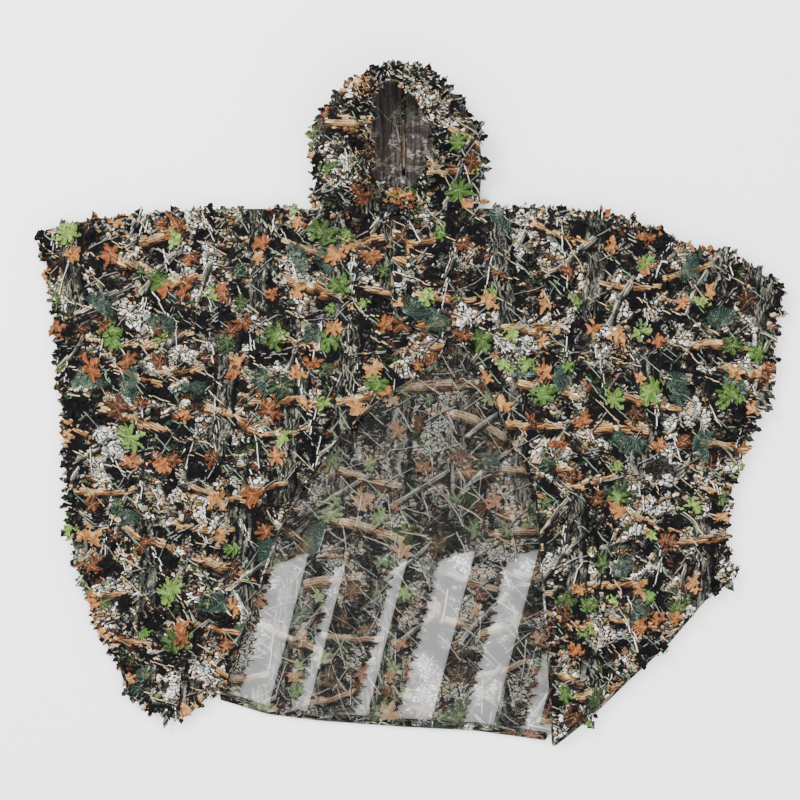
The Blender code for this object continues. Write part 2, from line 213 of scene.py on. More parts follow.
def after(tree, place, paint):
    # The place plus a billionth of the paint so far, too little to show. It makes each
    # layer wait for the one below, so that the renderer's shader memory holds them all.
    parts = add(tree, "SeparateColor", {"Color": paint})
    shift = add(tree, "CombineXYZ", {"X": calc(tree, "MULTIPLY", parts.outputs[0], 1e-9)})
    return vector(tree, "ADD", place, shift.outputs[0])


# The woodland print.
# Print colours, named for what they draw.
inks = {
    "night": tint(6, 6, 14), "coal": tint(22, 21, 26), "soil": tint(58, 42, 34),
    "rust": tint(116, 74, 50), "orange": tint(170, 110, 68), "amber": tint(194, 148, 98),
    "umber": tint(112, 78, 52), "wood": tint(176, 138, 92), "straw": tint(222, 206, 172),
    "bone": tint(250, 247, 240),
    "stone": tint(150, 147, 142), "bark": tint(88, 88, 80), "barkLight": tint(140, 138, 126),
    "moss": tint(74, 96, 56), "leafGreen": tint(100, 134, 70), "lime": tint(146, 172, 96),
    "pine": tint(48, 70, 62), "pineLight": tint(146, 166, 148),
}


def scatter(tree, place, spread, seed, loose=0.85):
    # one item to a cell: the offset from the cell's middle in metres, and three chances
    moved = vector(tree, "ADD", place, (*seed, 0.0))
    grown = vector(tree, "MULTIPLY", moved, (1.0 / spread[0], 1.0 / spread[1], 0.0))
    cell = add(tree, "TexVoronoi", {"Vector": grown, "Scale": 1.0, "Randomness": loose},
               voronoi_dimensions="2D")
    away = vector(tree, "SUBTRACT", grown, cell.outputs["Position"])
    local = vector(tree, "MULTIPLY", away, (spread[0], spread[1], 0.0))
    chance = add(tree, "SeparateColor", {"Color": cell.outputs["Color"]})
    return local, (chance.outputs[0], chance.outputs[1], chance.outputs[2])


def turned(tree, local, angle):
    item = add(tree, "VectorRotate", {"Vector": local}, rotation_type="Z_AXIS")
    put(tree, item.inputs["Angle"], angle)
    parts = add(tree, "SeparateXYZ", {"Vector": item.outputs[0]})
    return parts.outputs[0], parts.outputs[1]


def leafItem(tree, place, spread, seed, size, share, lobes, tones):
    # a lobed leaf: its radius follows |cos(lobes/2 * angle)|, with small teeth on top
    local, chance = scatter(tree, place, spread, seed, 0.8)
    x, y = turned(tree, local, calc(tree, "MULTIPLY", chance[0], 6.283))
    y = calc(tree, "MULTIPLY", y, 1.3)
    angle = calc(tree, "ARCTAN2", y, x)
    reach = calc(tree, "SQRT", calc(tree, "ADD", calc(tree, "MULTIPLY", x, x),
                                    calc(tree, "MULTIPLY", y, y)))
    half = calc(tree, "MULTIPLY", angle, lobes / 2.0)
    lobe = calc(tree, "POWER", calc(tree, "ABSOLUTE", calc(tree, "COSINE", half)), 0.9)
    teeth = calc(tree, "PINGPONG", calc(tree, "MULTIPLY", angle, 4.2), 1.0)
    grow = calc(tree, "MULTIPLY_ADD", chance[1], 0.5 * size / max(share, 0.01), 0.65 * size)
    shape = calc(tree, "ADD", calc(tree, "MULTIPLY_ADD", lobe, 0.58, 0.32),
                 calc(tree, "MULTIPLY", teeth, 0.16))
    edge = calc(tree, "MULTIPLY", grow, shape)
    mask = both(tree, within(tree, reach, edge, 0.0014),
                calc(tree, "LESS_THAN", chance[1], share))
    side = calc(tree, "SINE", calc(tree, "MULTIPLY", angle, lobes))
    vein = within(tree, calc(tree, "MULTIPLY", reach, calc(tree, "ABSOLUTE",
                  calc(tree, "SINE", half))), 0.0007, 0.0007)
    paint = ramp(tree, chance[2], tones)
    shade = calc(tree, "MULTIPLY_ADD", calc(tree, "SIGN", side), 0.16, 0.86)
    paint = dimmed(tree, paint, shade)
    paint = mixed(tree, calc(tree, "MULTIPLY", vein, 0.55), paint, inks["straw"])
    return mask, paint


def stickItem(tree, place, spread, seed, size, lean, share=1.0, curve=1.6):
    # a stick: |across| under its half width and |along| under its half length, bent by along^2
    local, chance = scatter(tree, place, spread, seed, 0.85)
    angle = calc(tree, "MULTIPLY_ADD", chance[0], lean[1], lean[0] - lean[1] / 2.0)
    along, across = turned(tree, local, angle)
    arch = calc(tree, "MULTIPLY", calc(tree, "MULTIPLY", along, along),
                calc(tree, "MULTIPLY_ADD", chance[2], 2 * curve, -curve))
    across = calc(tree, "ADD", across, arch)
    wide = calc(tree, "MULTIPLY_ADD", chance[2], 0.5 * size[1], 0.5 * size[1])
    long = calc(tree, "MULTIPLY_ADD", chance[0], 0.3 * size[0], 0.7 * size[0])
    mask = both(tree, within(tree, calc(tree, "ABSOLUTE", across), wide, 0.0012),
                within(tree, calc(tree, "ABSOLUTE", along), long, 0.004),
                calc(tree, "LESS_THAN", chance[1], share))
    return mask, along, across, chance


def drawWoodland(tree, place):
    # Litter, bark, branches, twigs, needles and leaves, laid over each other with shadows.
    bent = wandered(tree, wandered(tree, place, 13.0, 0.022), 85.0, 0.010)
    calm = wandered(tree, place, 22.0, 0.007)
    patch = noise(tree, place, 11.0, 2.0)

    # litter: flat chips with dark gaps, paler where the patches say
    def chips(here, spread, seed, dark):
        moved = vector(tree, "ADD", here, (*seed, 0.0))
        grown = vector(tree, "MULTIPLY", moved, (1 / spread[0], 1 / spread[1], 0.0))
        cell = add(tree, "TexVoronoi", {"Vector": grown, "Scale": 1.0, "Randomness": 1.0},
                   voronoi_dimensions="2D")
        gap = add(tree, "TexVoronoi", {"Vector": grown, "Scale": 1.0, "Randomness": 1.0},
                  voronoi_dimensions="2D", feature="DISTANCE_TO_EDGE")
        chance = add(tree, "SeparateColor", {"Color": cell.outputs["Color"]})
        away = vector(tree, "SUBTRACT", grown, cell.outputs["Position"])
        lit = add(tree, "VectorMath", {0: away, 1: (-0.45, 0.65, 0.0)},
                  operation="DOT_PRODUCT").outputs["Value"]
        return (chance.outputs[0], chance.outputs[1], lit,
                within(tree, gap.outputs["Distance"], dark, 0.07))

    pick, second, lit, gaps = chips(bent, (0.0118, 0.0070), (0.0, 0.0), 0.11)
    level = calc(tree, "ADD", calc(tree, "MULTIPLY", pick, 0.62),
                 calc(tree, "MULTIPLY_ADD", patch, 2.6, -1.04))
    paint = ramp(tree, level, [
        (0.0, inks["night"]), (0.16, inks["coal"]), (0.26, inks["soil"]),
        (0.38, inks["bark"]), (0.50, inks["stone"]), (0.60, inks["wood"]),
        (0.68, inks["straw"]), (0.80, inks["bone"])], steps=True)
    paint = dimmed(tree, paint, calc(tree, "MULTIPLY_ADD", lit, 0.9, 0.88, clamp=True))
    green = calc(tree, "LESS_THAN", second, 0.16)
    paint = mixed(tree, calc(tree, "MULTIPLY", green, 0.6), paint, inks["moss"])
    brown = calc(tree, "GREATER_THAN", second, 0.86)
    paint = mixed(tree, calc(tree, "MULTIPLY", brown, 0.6), paint, inks["rust"])
    paint = mixed(tree, gaps, paint, inks["night"])
    pickTwo, _, _, gapsTwo = chips(
        after(tree, bent, paint), (0.0068, 0.0042), (5.1, 2.3), 0.12)
    patchTwo = noise(tree, vector(tree, "ADD", after(tree, place, paint), (3.7, 8.1, 0.0)),
                     17.0, 2.0)
    level = calc(tree, "ADD", calc(tree, "MULTIPLY", pickTwo, 0.7),
                 calc(tree, "MULTIPLY_ADD", patchTwo, 1.8, -0.75))
    crumbs = ramp(tree, level, [
        (0.0, inks["night"]), (0.26, inks["coal"]), (0.40, inks["soil"]),
        (0.52, inks["bark"]), (0.64, inks["stone"]), (0.76, inks["bone"])], steps=True)
    crumbs = mixed(tree, gapsTwo, crumbs, inks["night"])
    fineShare = within(tree, patchTwo, 0.47, 0.03)
    paint = mixed(tree, fineShare, paint, crumbs)

    # deep shadows between the drifts of litter
    hollow = within(tree, noise(tree, after(tree, bent, paint), 19.0, 3.0, 0.6), 0.405, 0.03)
    paint = mixed(tree, calc(tree, "MULTIPLY", hollow, 0.9), paint, inks["night"])

    # upright bark: streaked along Y, dark down its right side
    here = after(tree, bent, paint)
    local, chance = scatter(tree, here, (0.125, 0.30), (0.7, 1.9), 0.75)
    x, y = turned(tree, local, calc(tree, "MULTIPLY_ADD", chance[0], 0.24, -0.12))
    shown = both(tree, within(tree, calc(tree, "ABSOLUTE", x), 0.023, 0.003),
                 within(tree, calc(tree, "ABSOLUTE", y), 0.125, 0.01),
                 calc(tree, "LESS_THAN", chance[1], 0.66))
    streaks = noise(tree, vector(tree, "MULTIPLY", here, (1.0, 0.10, 0.0)), 190.0, 4.0, 0.65)
    bark = ramp(tree, streaks, [(0.36, inks["night"]), (0.46, inks["coal"]),
                                (0.54, inks["bark"]), (0.64, inks["barkLight"]),
                                (0.80, inks["straw"])])
    bark = mixed(tree, within(tree, calc(tree, "MULTIPLY", x, -1.0), -0.012, 0.008),
                 bark, inks["night"])
    paint = mixed(tree, shown, paint, bark)

    # branches lying across, each over its own shadow
    def branch(seed, spread, size, lean, share, tones, shadow=0.9):
        nonlocal paint
        here = after(tree, calm, paint)
        low = vector(tree, "ADD", here, (-0.002, 0.45 * size[1] + 0.003, 0.0))
        dark = stickItem(tree, low, spread, seed, size, lean, share)[0]
        paint = mixed(tree, calc(tree, "MULTIPLY", dark, shadow), paint, inks["night"])
        here = after(tree, calm, paint)
        mask, along, across, chance = stickItem(tree, here, spread, seed, size, lean, share)
        grain = add(tree, "CombineXYZ", {"X": calc(tree, "MULTIPLY", along, 14.0),
                                         "Y": calc(tree, "MULTIPLY", across, 150.0)})
        lines = noise(tree, grain.outputs[0], 1.6, 3.0, 0.6)
        wood = ramp(tree, calc(tree, "ADD", lines, calc(tree, "MULTIPLY", across,
                    0.16 / size[1])), tones)
        paint = mixed(tree, mask, paint, wood)

    branch((1.3, 0.4), (0.185, 0.100), (0.074, 0.0105), (0.10, 0.85), 0.80,
           [(0.34, inks["coal"]), (0.44, inks["umber"]), (0.55, inks["wood"]),
            (0.70, inks["straw"])])
    branch((4.9, 2.2), (0.16, 0.15), (0.070, 0.0060), (-0.9, 0.9), 0.7,
           [(0.34, inks["coal"]), (0.48, inks["bark"]), (0.58, inks["stone"]),
            (0.70, inks["straw"])])

    # fine twigs and grass in four directions
    for seed, lean, ink, share, spread in (
            ((2.2, 5.3), (0.65, 0.9), "straw", 0.8, (0.085, 0.060)),
            ((6.1, 1.2), (-0.6, 1.1), "stone", 0.8, (0.085, 0.070)),
            ((1.7, 3.3), (0.80, 0.5), "pineLight", 0.7, (0.070, 0.050)),
            ((3.9, 7.7), (1.45, 0.9), "bone", 0.6, (0.085, 0.075))):
        low = vector(tree, "ADD", after(tree, calm, paint), (-0.0018, 0.0022, 0.0))
        dark = stickItem(tree, low, spread, seed, (0.040, 0.0018), lean, share)[0]
        paint = mixed(tree, calc(tree, "MULTIPLY", dark, 0.9), paint, inks["night"])
        here = after(tree, calm, paint)
        mask = stickItem(tree, here, spread, seed, (0.040, 0.0011), lean, share)[0]
        paint = mixed(tree, mask, paint, inks[ink])

    # pine needles: thin rays from the middle of a tuft
    local, chance = scatter(tree, after(tree, bent, paint), (0.13, 0.12), (8.3, 3.1), 0.9)
    x, y = turned(tree, local, calc(tree, "MULTIPLY", chance[0], 6.283))
    angle = calc(tree, "ARCTAN2", y, x)
    reach = lengthOf(tree, local)
    fan = both(tree, within(tree, reach, 0.036, 0.004),
               within(tree, calc(tree, "ABSOLUTE", angle), 1.5, 0.1),
               calc(tree, "LESS_THAN", chance[1], 0.42))
    ray = calc(tree, "MULTIPLY", reach, calc(tree, "ABSOLUTE",
               calc(tree, "SINE", calc(tree, "MULTIPLY", angle, 13.0))))
    paint = mixed(tree, calc(tree, "MULTIPLY", fan, 0.75), paint, inks["pine"])
    paint = mixed(tree, both(tree, fan, within(tree, ray, 0.0042, 0.002)), paint,
                  inks["night"])
    paint = mixed(tree, both(tree, fan, within(tree, ray, 0.0018, 0.001)), paint,
                  inks["pineLight"])

    # leaves, rust ones and green ones, each over its shadow
    rusty = [(0.0, inks["soil"]), (0.25, inks["rust"]), (0.6, inks["orange"]),
             (0.9, inks["amber"])]
    leafy = [(0.0, inks["pine"]), (0.3, inks["moss"]), (0.65, inks["leafGreen"]),
             (0.95, inks["lime"])]
    for seed, size, share, lobes, tones in (
            ((9.2, 4.4), 0.031, 0.32, 7.0, leafy), ((2.6, 9.9), 0.026, 0.32, 5.0, rusty),
            ((7.4, 6.6), 0.020, 0.24, 5.0, leafy), ((5.8, 8.2), 0.021, 0.34, 5.0, rusty)):
        spread = (size * 3.5, size * 3.3)
        low = vector(tree, "ADD", after(tree, bent, paint), (-0.002, 0.0035, 0.0))
        dark = leafItem(tree, low, spread, seed, size, share, lobes, tones)[0]
        paint = mixed(tree, calc(tree, "MULTIPLY", dark, 0.9), paint, inks["night"])
        here = after(tree, bent, paint)
        mask, leaf = leafItem(tree, here, spread, seed, size, share, lobes, tones)
        paint = mixed(tree, mask, paint, leaf)
    return paint


def woodlandGroup():
    # the whole print as one group, so that every cloth shares it
    tree = bpy.data.node_groups.new("woodlandPrint", "ShaderNodeTree")
    tree.interface.new_socket("Place", in_out="INPUT", socket_type="NodeSocketVector")
    tree.interface.new_socket("Paint", in_out="OUTPUT", socket_type="NodeSocketColor")
    start = tree.nodes.new("NodeGroupInput")
    paint = drawWoodland(tree, start.outputs["Place"])
    end = tree.nodes.new("NodeGroupOutput")
    tree.links.new(paint, end.inputs["Paint"])
    return tree


printGroup = woodlandGroup()
print("print drawn with", len(printGroup.nodes), "nodes")


def clothMaterial(name, look):
    # Printed cloth: the print, toned by the look, with a fine weave in its bump.
    material = bpy.data.materials.new(name)
    material.use_nodes = True
    tree = material.node_tree
    shader = tree.nodes["Principled BSDF"]
    place = add(tree, "Attribute", attribute_name="cloth").outputs["Vector"]
    drawn = add(tree, "Group", node_tree=printGroup)
    put(tree, drawn.inputs["Place"], place)
    mottle = noise(tree, place, 260.0, 2.0, 0.7)
    paint = dimmed(tree, drawn.outputs["Paint"], calc(tree, "MULTIPLY_ADD", mottle, 0.5, 0.75))
    if look.get("grey"):
        dull = dimmed(tree, look["greyTone"], add(tree, "RGBToBW", {"Color": paint}).outputs[0])
        paint = mixed(tree, look["grey"], paint, dull)
    if look.get("veil"):
        paint = mixed(tree, look["veil"], paint, look["veilTone"])
    if look.get("streaks"):
        lines = noise(tree, vector(tree, "MULTIPLY", place, (1.0, 0.09, 0.0)), 150.0, 4.0, 0.7)
        lines = ramp(tree, lines, [(0.34, (0.25, 0.25, 0.25)), (0.62, (1.35, 1.35, 1.3))])
        paint = mixed(tree, look["streaks"], paint, lines, "MULTIPLY")
    paint = add(tree, "Gamma", {"Color": paint, "Gamma": look["depth"]}).outputs[0]
    paint = dimmed(tree, paint, look["gain"])
    tree.links.new(paint, shader.inputs["Base Color"])
    weave = add(tree, "TexWave", {"Vector": place, "Scale": 420.0, "Distortion": 0.4},
                bands_direction="X").outputs["Fac"]
    weft = add(tree, "TexWave", {"Vector": place, "Scale": 420.0, "Distortion": 0.4},
               bands_direction="Y").outputs["Fac"]
    crumple = noise(tree, place, 60.0, 3.0, 0.6)
    relief = calc(tree, "ADD", calc(tree, "MULTIPLY", calc(tree, "ADD", weave, weft), 0.10),
                  crumple)
    bump = add(tree, "Bump", {"Height": relief, "Strength": look["bump"],
                              "Distance": 0.002})
    tree.links.new(bump.outputs[0], shader.inputs["Normal"])
    rough = calc(tree, "MULTIPLY_ADD", mottle, 0.2, look["rough"])
    tree.links.new(rough, shader.inputs["Roughness"])
    shader.inputs["Specular IOR Level"].default_value = 0.12
    shader.inputs["Sheen Weight"].default_value = 0.03
    shader.inputs["Sheen Roughness"].default_value = 0.4
    if look.get("holes"):
        # open mesh: ink fills more of it where the print is dark
        ink = add(tree, "RGBToBW", {"Color": paint}).outputs[0]
        solid = calc(tree, "MULTIPLY_ADD", ink, -0.95, look["holes"], clamp=True)
        tree.links.new(solid, shader.inputs["Alpha"])
    return material


looks = {
    # frontCloth, the sheet the leaf flaps lie on, has a lower gain than leafCloth: painted shade from the
    # flaps above it
    "frontCloth": {"gain": 0.56, "depth": 1.25, "rough": 0.78, "bump": 0.35},
    "leafCloth": {"gain": 0.72, "depth": 1.20, "rough": 0.76, "bump": 0.35},
    "sheerCloth": {"gain": 0.62, "depth": 1.0, "rough": 0.8, "bump": 0.3,
                   "holes": 0.66, "grey": 0.30, "greyTone": (0.98, 1.0, 0.95), "veil": 0.05,
                   "veilTone": tint(120, 116, 106)},
    "backLeafCloth": {"gain": 0.50, "depth": 1.1, "rough": 0.8, "bump": 0.3},
    "hoodLining": {"gain": 0.58, "depth": 1.0, "rough": 0.8, "bump": 0.35,
                   "grey": 0.60, "greyTone": (1.0, 0.96, 0.97), "veil": 0.50,
                   "veilTone": tint(112, 102, 100), "streaks": 0.9},
    "edgeTape": {"gain": 0.40, "depth": 1.1, "rough": 0.75, "bump": 0.4,
                 "grey": 0.3, "greyTone": (1.0, 1.0, 1.0)},
}
cloths = {name: clothMaterial(name, look) for name, look in looks.items()}
print("cloth materials made:", ", ".join(cloths))


def makeMesh(name, points, faces, cloth, materials, marks=None, smooth=True):
    # points (n, 3), quads (m, 4) and the print's place (n, 2) for each point
    mesh = bpy.data.meshes.new(name)
    mesh.vertices.add(len(points))
    mesh.vertices.foreach_set("co", np.asarray(points, np.float32).ravel())
    mesh.loops.add(faces.size)
    mesh.loops.foreach_set("vertex_index", np.asarray(faces, np.int32).ravel())
    mesh.polygons.add(len(faces))
    mesh.polygons.foreach_set("loop_start", np.arange(len(faces), dtype=np.int32) * 4)
    mesh.polygons.foreach_set("loop_total", np.full(len(faces), 4, np.int32))
    mesh.update(calc_edges=True)
    mesh.polygons.foreach_set("use_smooth", np.full(len(faces), smooth))
    place = mesh.attributes.new("cloth", "FLOAT_VECTOR", "POINT")
    flat = np.zeros((len(points), 3), np.float32)
    flat[:, :2] = cloth
    place.data.foreach_set("vector", flat.ravel())
    for material in materials:
        mesh.materials.append(material)
    if marks is not None:
        mesh.polygons.foreach_set("material_index", np.asarray(marks, np.int32))
    mesh.validate()
    item = bpy.data.objects.new(name, mesh)
    bpy.context.scene.collection.objects.link(item)
    return item


def gridFaces(rows, columns, loop=False):
    # quads of a rows by columns grid; loop joins the last column to the first
    across = columns if loop else columns - 1
    r, c = np.meshgrid(np.arange(rows - 1), np.arange(across), indexing="ij")
    along = (c + 1) % columns
    a, b = r * columns + c, r * columns + along
    d, e = (r + 1) * columns + c, (r + 1) * columns + along
    return np.stack([a, b, e, d], -1).reshape(-1, 4)


def weld(item):
    # points that meet become one, and a closed skin's faces turn outwards
    skin = bmesh.new()
    skin.from_mesh(item.data)
    bmesh.ops.remove_doubles(skin, verts=skin.verts, dist=1e-6)
    bmesh.ops.recalc_face_normals(skin, faces=skin.faces)
    skin.to_mesh(item.data)
    skin.free()
    return item


def thicken(item, depth, offset=-1.0, second=0):
    wall = item.modifiers.new("thickness", "SOLIDIFY")
    wall.thickness = depth
    wall.offset = offset
    wall.use_even_offset = False
    wall.material_offset = second
    return item


def edgeCurve(points, count, soften=3, crowd=0.0):
    # Points spread along a line through the given ones, corners eased a little. With
    # crowd they stand closer about its middle, by that share.
    points = np.asarray(points, float)
    steps = np.hypot(*np.diff(points, axis=0).T)
    along = np.concatenate([[0.0], np.cumsum(steps)])
    where = np.linspace(0.0, 1.0, count)
    where = (where + crowd * np.sin(2 * math.pi * where) / (2 * math.pi)) * along[-1]
    found = np.stack([np.interp(where, along, points[:, k]) for k in (0, 1)], -1)
    for _ in range(soften):
        found[1:-1] = (found[:-2] + 2 * found[1:-1] + found[2:]) / 4
    return found


def coonsPatch(top, bottom, start, end):
    # A panel between four edges: the ruled surface across, plus the one down, less the
    # flat one through its corners. top and bottom run along u, start and end along v.
    u = np.linspace(0, 1, len(top))[None, :, None]
    v = np.linspace(0, 1, len(start))[:, None, None]
    across = (1 - u) * start[:, None] + u * end[:, None]
    down = (1 - v) * top[None] + v * bottom[None]
    flat = ((1 - u) * (1 - v) * top[0] + u * (1 - v) * top[-1]
            + (1 - u) * v * bottom[0] + u * v * bottom[-1])
    return across + down - flat


def inside(points, outline):
    # which points lie in a closed outline, by counting the edges to their right
    x, y = points[:, 0][:, None], points[:, 1][:, None]
    a, b = np.asarray(outline, float), np.roll(np.asarray(outline, float), -1, 0)
    spans = (a[:, 1] > y) != (b[:, 1] > y)
    rise = np.where(b[:, 1] == a[:, 1], 1e-9, b[:, 1] - a[:, 1])
    cross = a[:, 0] + (y - a[:, 1]) * (b[:, 0] - a[:, 0]) / rise
    return (spans & (cross > x)).sum(1) % 2 == 1


def ripple(x, y, seed, reach, wave):
    # soft unevenness: five sine waves of random direction, their lengths round wave
    dice = np.random.default_rng(seed)
    total = np.zeros_like(x)
    for _ in range(5):
        turn, phase = dice.uniform(0, math.pi), dice.uniform(0, 2 * math.pi)
        size = wave * dice.uniform(0.6, 1.6)
        along = x * math.cos(turn) + y * math.sin(turn)
        bend = 0.35 * wave * np.sin((x * math.sin(turn) - y * math.cos(turn)) / wave + phase)
        total += np.sin(2 * math.pi * (along + bend) / size + phase)
    return total * reach / 2.4


def folds(x, y, lines):
    # long creases: each falls off as a bell across a line from (x0, y0) to (x1, y1)
    total = np.zeros_like(x)
    for x0, y0, x1, y1, high, wide in lines:
        run = np.array([x1 - x0, y1 - y0])
        size = np.hypot(*run)
        along = ((x - x0) * run[0] + (y - y0) * run[1]) / size
        across = ((x - x0) * -run[1] + (y - y0) * run[0]) / size
        ends = np.clip(np.minimum(along, size - along) / (0.35 * size) + 0.3, 0, 1)
        ends = ends * ends * (3 - 2 * ends)
        total += high * ends * np.exp(-(across / wide) ** 2)
    return total


# Leaf-cut flaps.
# Half widths of three cut leaves from base to tip, as shares of the leaf's width.
leafCuts = np.array([
    [0.36, 0.70, 0.46, 1.00, 0.56, 0.86, 0.36, 0.02],
    [0.42, 0.90, 0.60, 0.84, 0.44, 0.62, 0.30, 0.02],
    [0.32, 0.56, 0.84, 0.60, 0.96, 0.50, 0.58, 0.02]])
leafRows = np.array([0.0, 0.14, 0.27, 0.42, 0.55, 0.70, 0.84, 1.0])


def leafFlaps(name, roots, ways, ups, spec, seed, material, offset=(0.0, 0.0)):
    # Each leaf runs from its root along its way, rising from the cloth by an angle that
    # grows from root to tip, with its two sides drooping as the square of the width.
    dice = np.random.default_rng(seed)
    count = len(roots)
    long = dice.uniform(*spec["length"], count)
    wide = long * dice.uniform(*spec["slimness"], count) / 2
    rise = dice.uniform(*spec["rise"], count)
    curl = dice.uniform(*spec["curl"], count)
    roll = dice.uniform(-spec["roll"], spec["roll"], count)
    cut = leafCuts[dice.integers(0, len(leafCuts), count)]
    acrosses = np.cross(ups, ways)
    steps = np.diff(leafRows)
    middle = (leafRows[1:] + leafRows[:-1]) / 2
    slope = rise[:, None] + curl[:, None] * middle[None]
    ahead = np.concatenate([np.zeros((count, 1)), np.cumsum(np.cos(slope) * steps, 1)], 1)
    above = np.concatenate([np.zeros((count, 1)), np.cumsum(np.sin(slope) * steps, 1)], 1)
    ahead, above = ahead * long[:, None], above * long[:, None]
    sides = np.array([-1.0, 0.0, 1.0])
    half = cut * wide[:, None]
    lean = half[:, :, None] * sides * np.sin(roll)[:, None, None]
    droop = -spec["droop"] * (half[:, :, None] * sides) ** 2 / wide[:, None, None]
    points = (roots[:, None, None]
              + ways[:, None, None] * ahead[:, :, None, None]
              + acrosses[:, None, None] * (half[:, :, None] * sides)[..., None]
              + ups[:, None, None] * (above[:, :, None] + lean + droop)[..., None])
    if "floor" in spec:
        points[..., 2] = np.maximum(points[..., 2], spec["floor"])
    if "roof" in spec:
        points[..., 2] = np.minimum(points[..., 2], spec["roof"])
    turn = np.arctan2(ways[:, 1], ways[:, 0]) + dice.uniform(-0.2, 0.2, count)
    jump = dice.uniform(-spec["jump"], spec["jump"], (count, 2)) + np.asarray(offset)
    u = leafRows[None, :, None] * long[:, None, None]
    w = half[:, :, None] * sides
    cloth = np.stack([
        (roots[:, 0] + jump[:, 0])[:, None, None] + u * np.cos(turn)[:, None, None]
        - w * np.sin(turn)[:, None, None],
        (roots[:, 1] + jump[:, 1])[:, None, None] + u * np.sin(turn)[:, None, None]
        + w * np.cos(turn)[:, None, None]], -1)
    one = gridFaces(len(leafRows), 3)
    faces = (one[None] + (np.arange(count) * len(leafRows) * 3)[:, None, None]).reshape(-1, 4)
    return makeMesh(name, points.reshape(-1, 3), faces[:, ::-1], cloth.reshape(-1, 2),
                    [material])


def sownPoints(low, high, gap, seed):
    # staggered rows of points, each moved by up to a third of the gap
    dice = np.random.default_rng(seed)
    x, y = np.meshgrid(np.arange(low[0], high[0], gap), np.arange(low[1], high[1], gap * 0.87))
    x[1::2] += gap / 2
    points = np.stack([x.ravel(), y.ravel()], -1)
    return points + dice.uniform(-gap / 3, gap / 3, points.shape)


def towards(angles):
    return np.stack([np.cos(angles), np.sin(angles), np.zeros_like(angles)], -1)


def upright(count):
    return np.tile([0.0, 0.0, 1.0], (count, 1))


def fringeRoots(edge, gap, seed):
    # points along an edge with the outward direction there, the edge running clockwise
    dice = np.random.default_rng(seed)
    steps = np.hypot(*np.diff(edge, axis=0).T)
    along = np.concatenate([[0.0], np.cumsum(steps)])
    where = np.arange(gap / 2, along[-1], gap)
    where = np.clip(where + dice.uniform(-gap / 4, gap / 4, len(where)), 0, along[-1])
    spots = np.stack([np.interp(where, along, edge[:, k]) for k in (0, 1)], -1)
    ahead = np.stack([np.interp(where + 0.004, along, edge[:, k]) for k in (0, 1)], -1)
    behind = np.stack([np.interp(where - 0.004, along, edge[:, k]) for k in (0, 1)], -1)
    run = ahead - behind
    return spots, np.arctan2(run[:, 0], -run[:, 1])


# Edges, tubes and stitches.
def upward(points, faces):
    # the same quads, turned round if they face down on the whole
    flat = points.reshape(-1, 3)
    one, two = flat[faces[:, 1]] - flat[faces[:, 0]], flat[faces[:, 3]] - flat[faces[:, 0]]
    rise = (one[:, 0] * two[:, 1] - one[:, 1] * two[:, 0]).sum()
    return faces if rise > 0 else faces[:, ::-1]


def awayFrom(x, y, line):
    # distance from each point to the nearest piece of a line
    line = np.asarray(line, float)
    near = np.full(x.shape, 9.0)
    for (ax, ay), (bx, by) in zip(line[:-1], line[1:]):
        run = (bx - ax) ** 2 + (by - ay) ** 2 + 1e-12
        share = np.clip(((x - ax) * (bx - ax) + (y - ay) * (by - ay)) / run, 0, 1)
        near = np.minimum(near, np.hypot(x - ax - share * (bx - ax),
                                         y - ay - share * (by - ay)))
    return near


def tubeAlong(name, path, half, high, material, ring=10):
    # a flattened round section carried along a path, drawn to a point at both ends
    path = np.asarray(path, float)
    closed = bool(np.allclose(path[0], path[-1]))
    run = np.gradient(path, axis=0)
    if closed:
        run[0] = run[-1] = path[1] - path[-2]
    run /= np.linalg.norm(run, axis=1)[:, None]
    across = np.cross(np.tile([0.0, 0.0, 1.0], (len(path), 1)), run)
    across /= np.linalg.norm(across, axis=1)[:, None]
    upwards = np.cross(run, across)
    shrink = np.ones(len(path))
    if not closed:
        shrink[[0, -1]] = 0.0
    turn = np.linspace(0, 2 * math.pi, ring, endpoint=False)
    points = (path[:, None] + shrink[:, None, None]
              * (across[:, None] * (np.cos(turn) * half)[None, :, None]
                 + upwards[:, None] * (np.sin(turn) * high)[None, :, None]))
    along = np.concatenate([[0], np.cumsum(np.linalg.norm(np.diff(path, axis=0), axis=1))])
    cloth = np.stack([np.broadcast_to(along[:, None], points.shape[:2]) + path[0, 0],
                      np.broadcast_to(turn[None] * half * 1.6, points.shape[:2])
                      + path[0, 1]], -1)
    faces = gridFaces(len(path), ring, loop=True)
    return weld(makeMesh(name, points.reshape(-1, 3), faces, cloth.reshape(-1, 2),
                         [material]))


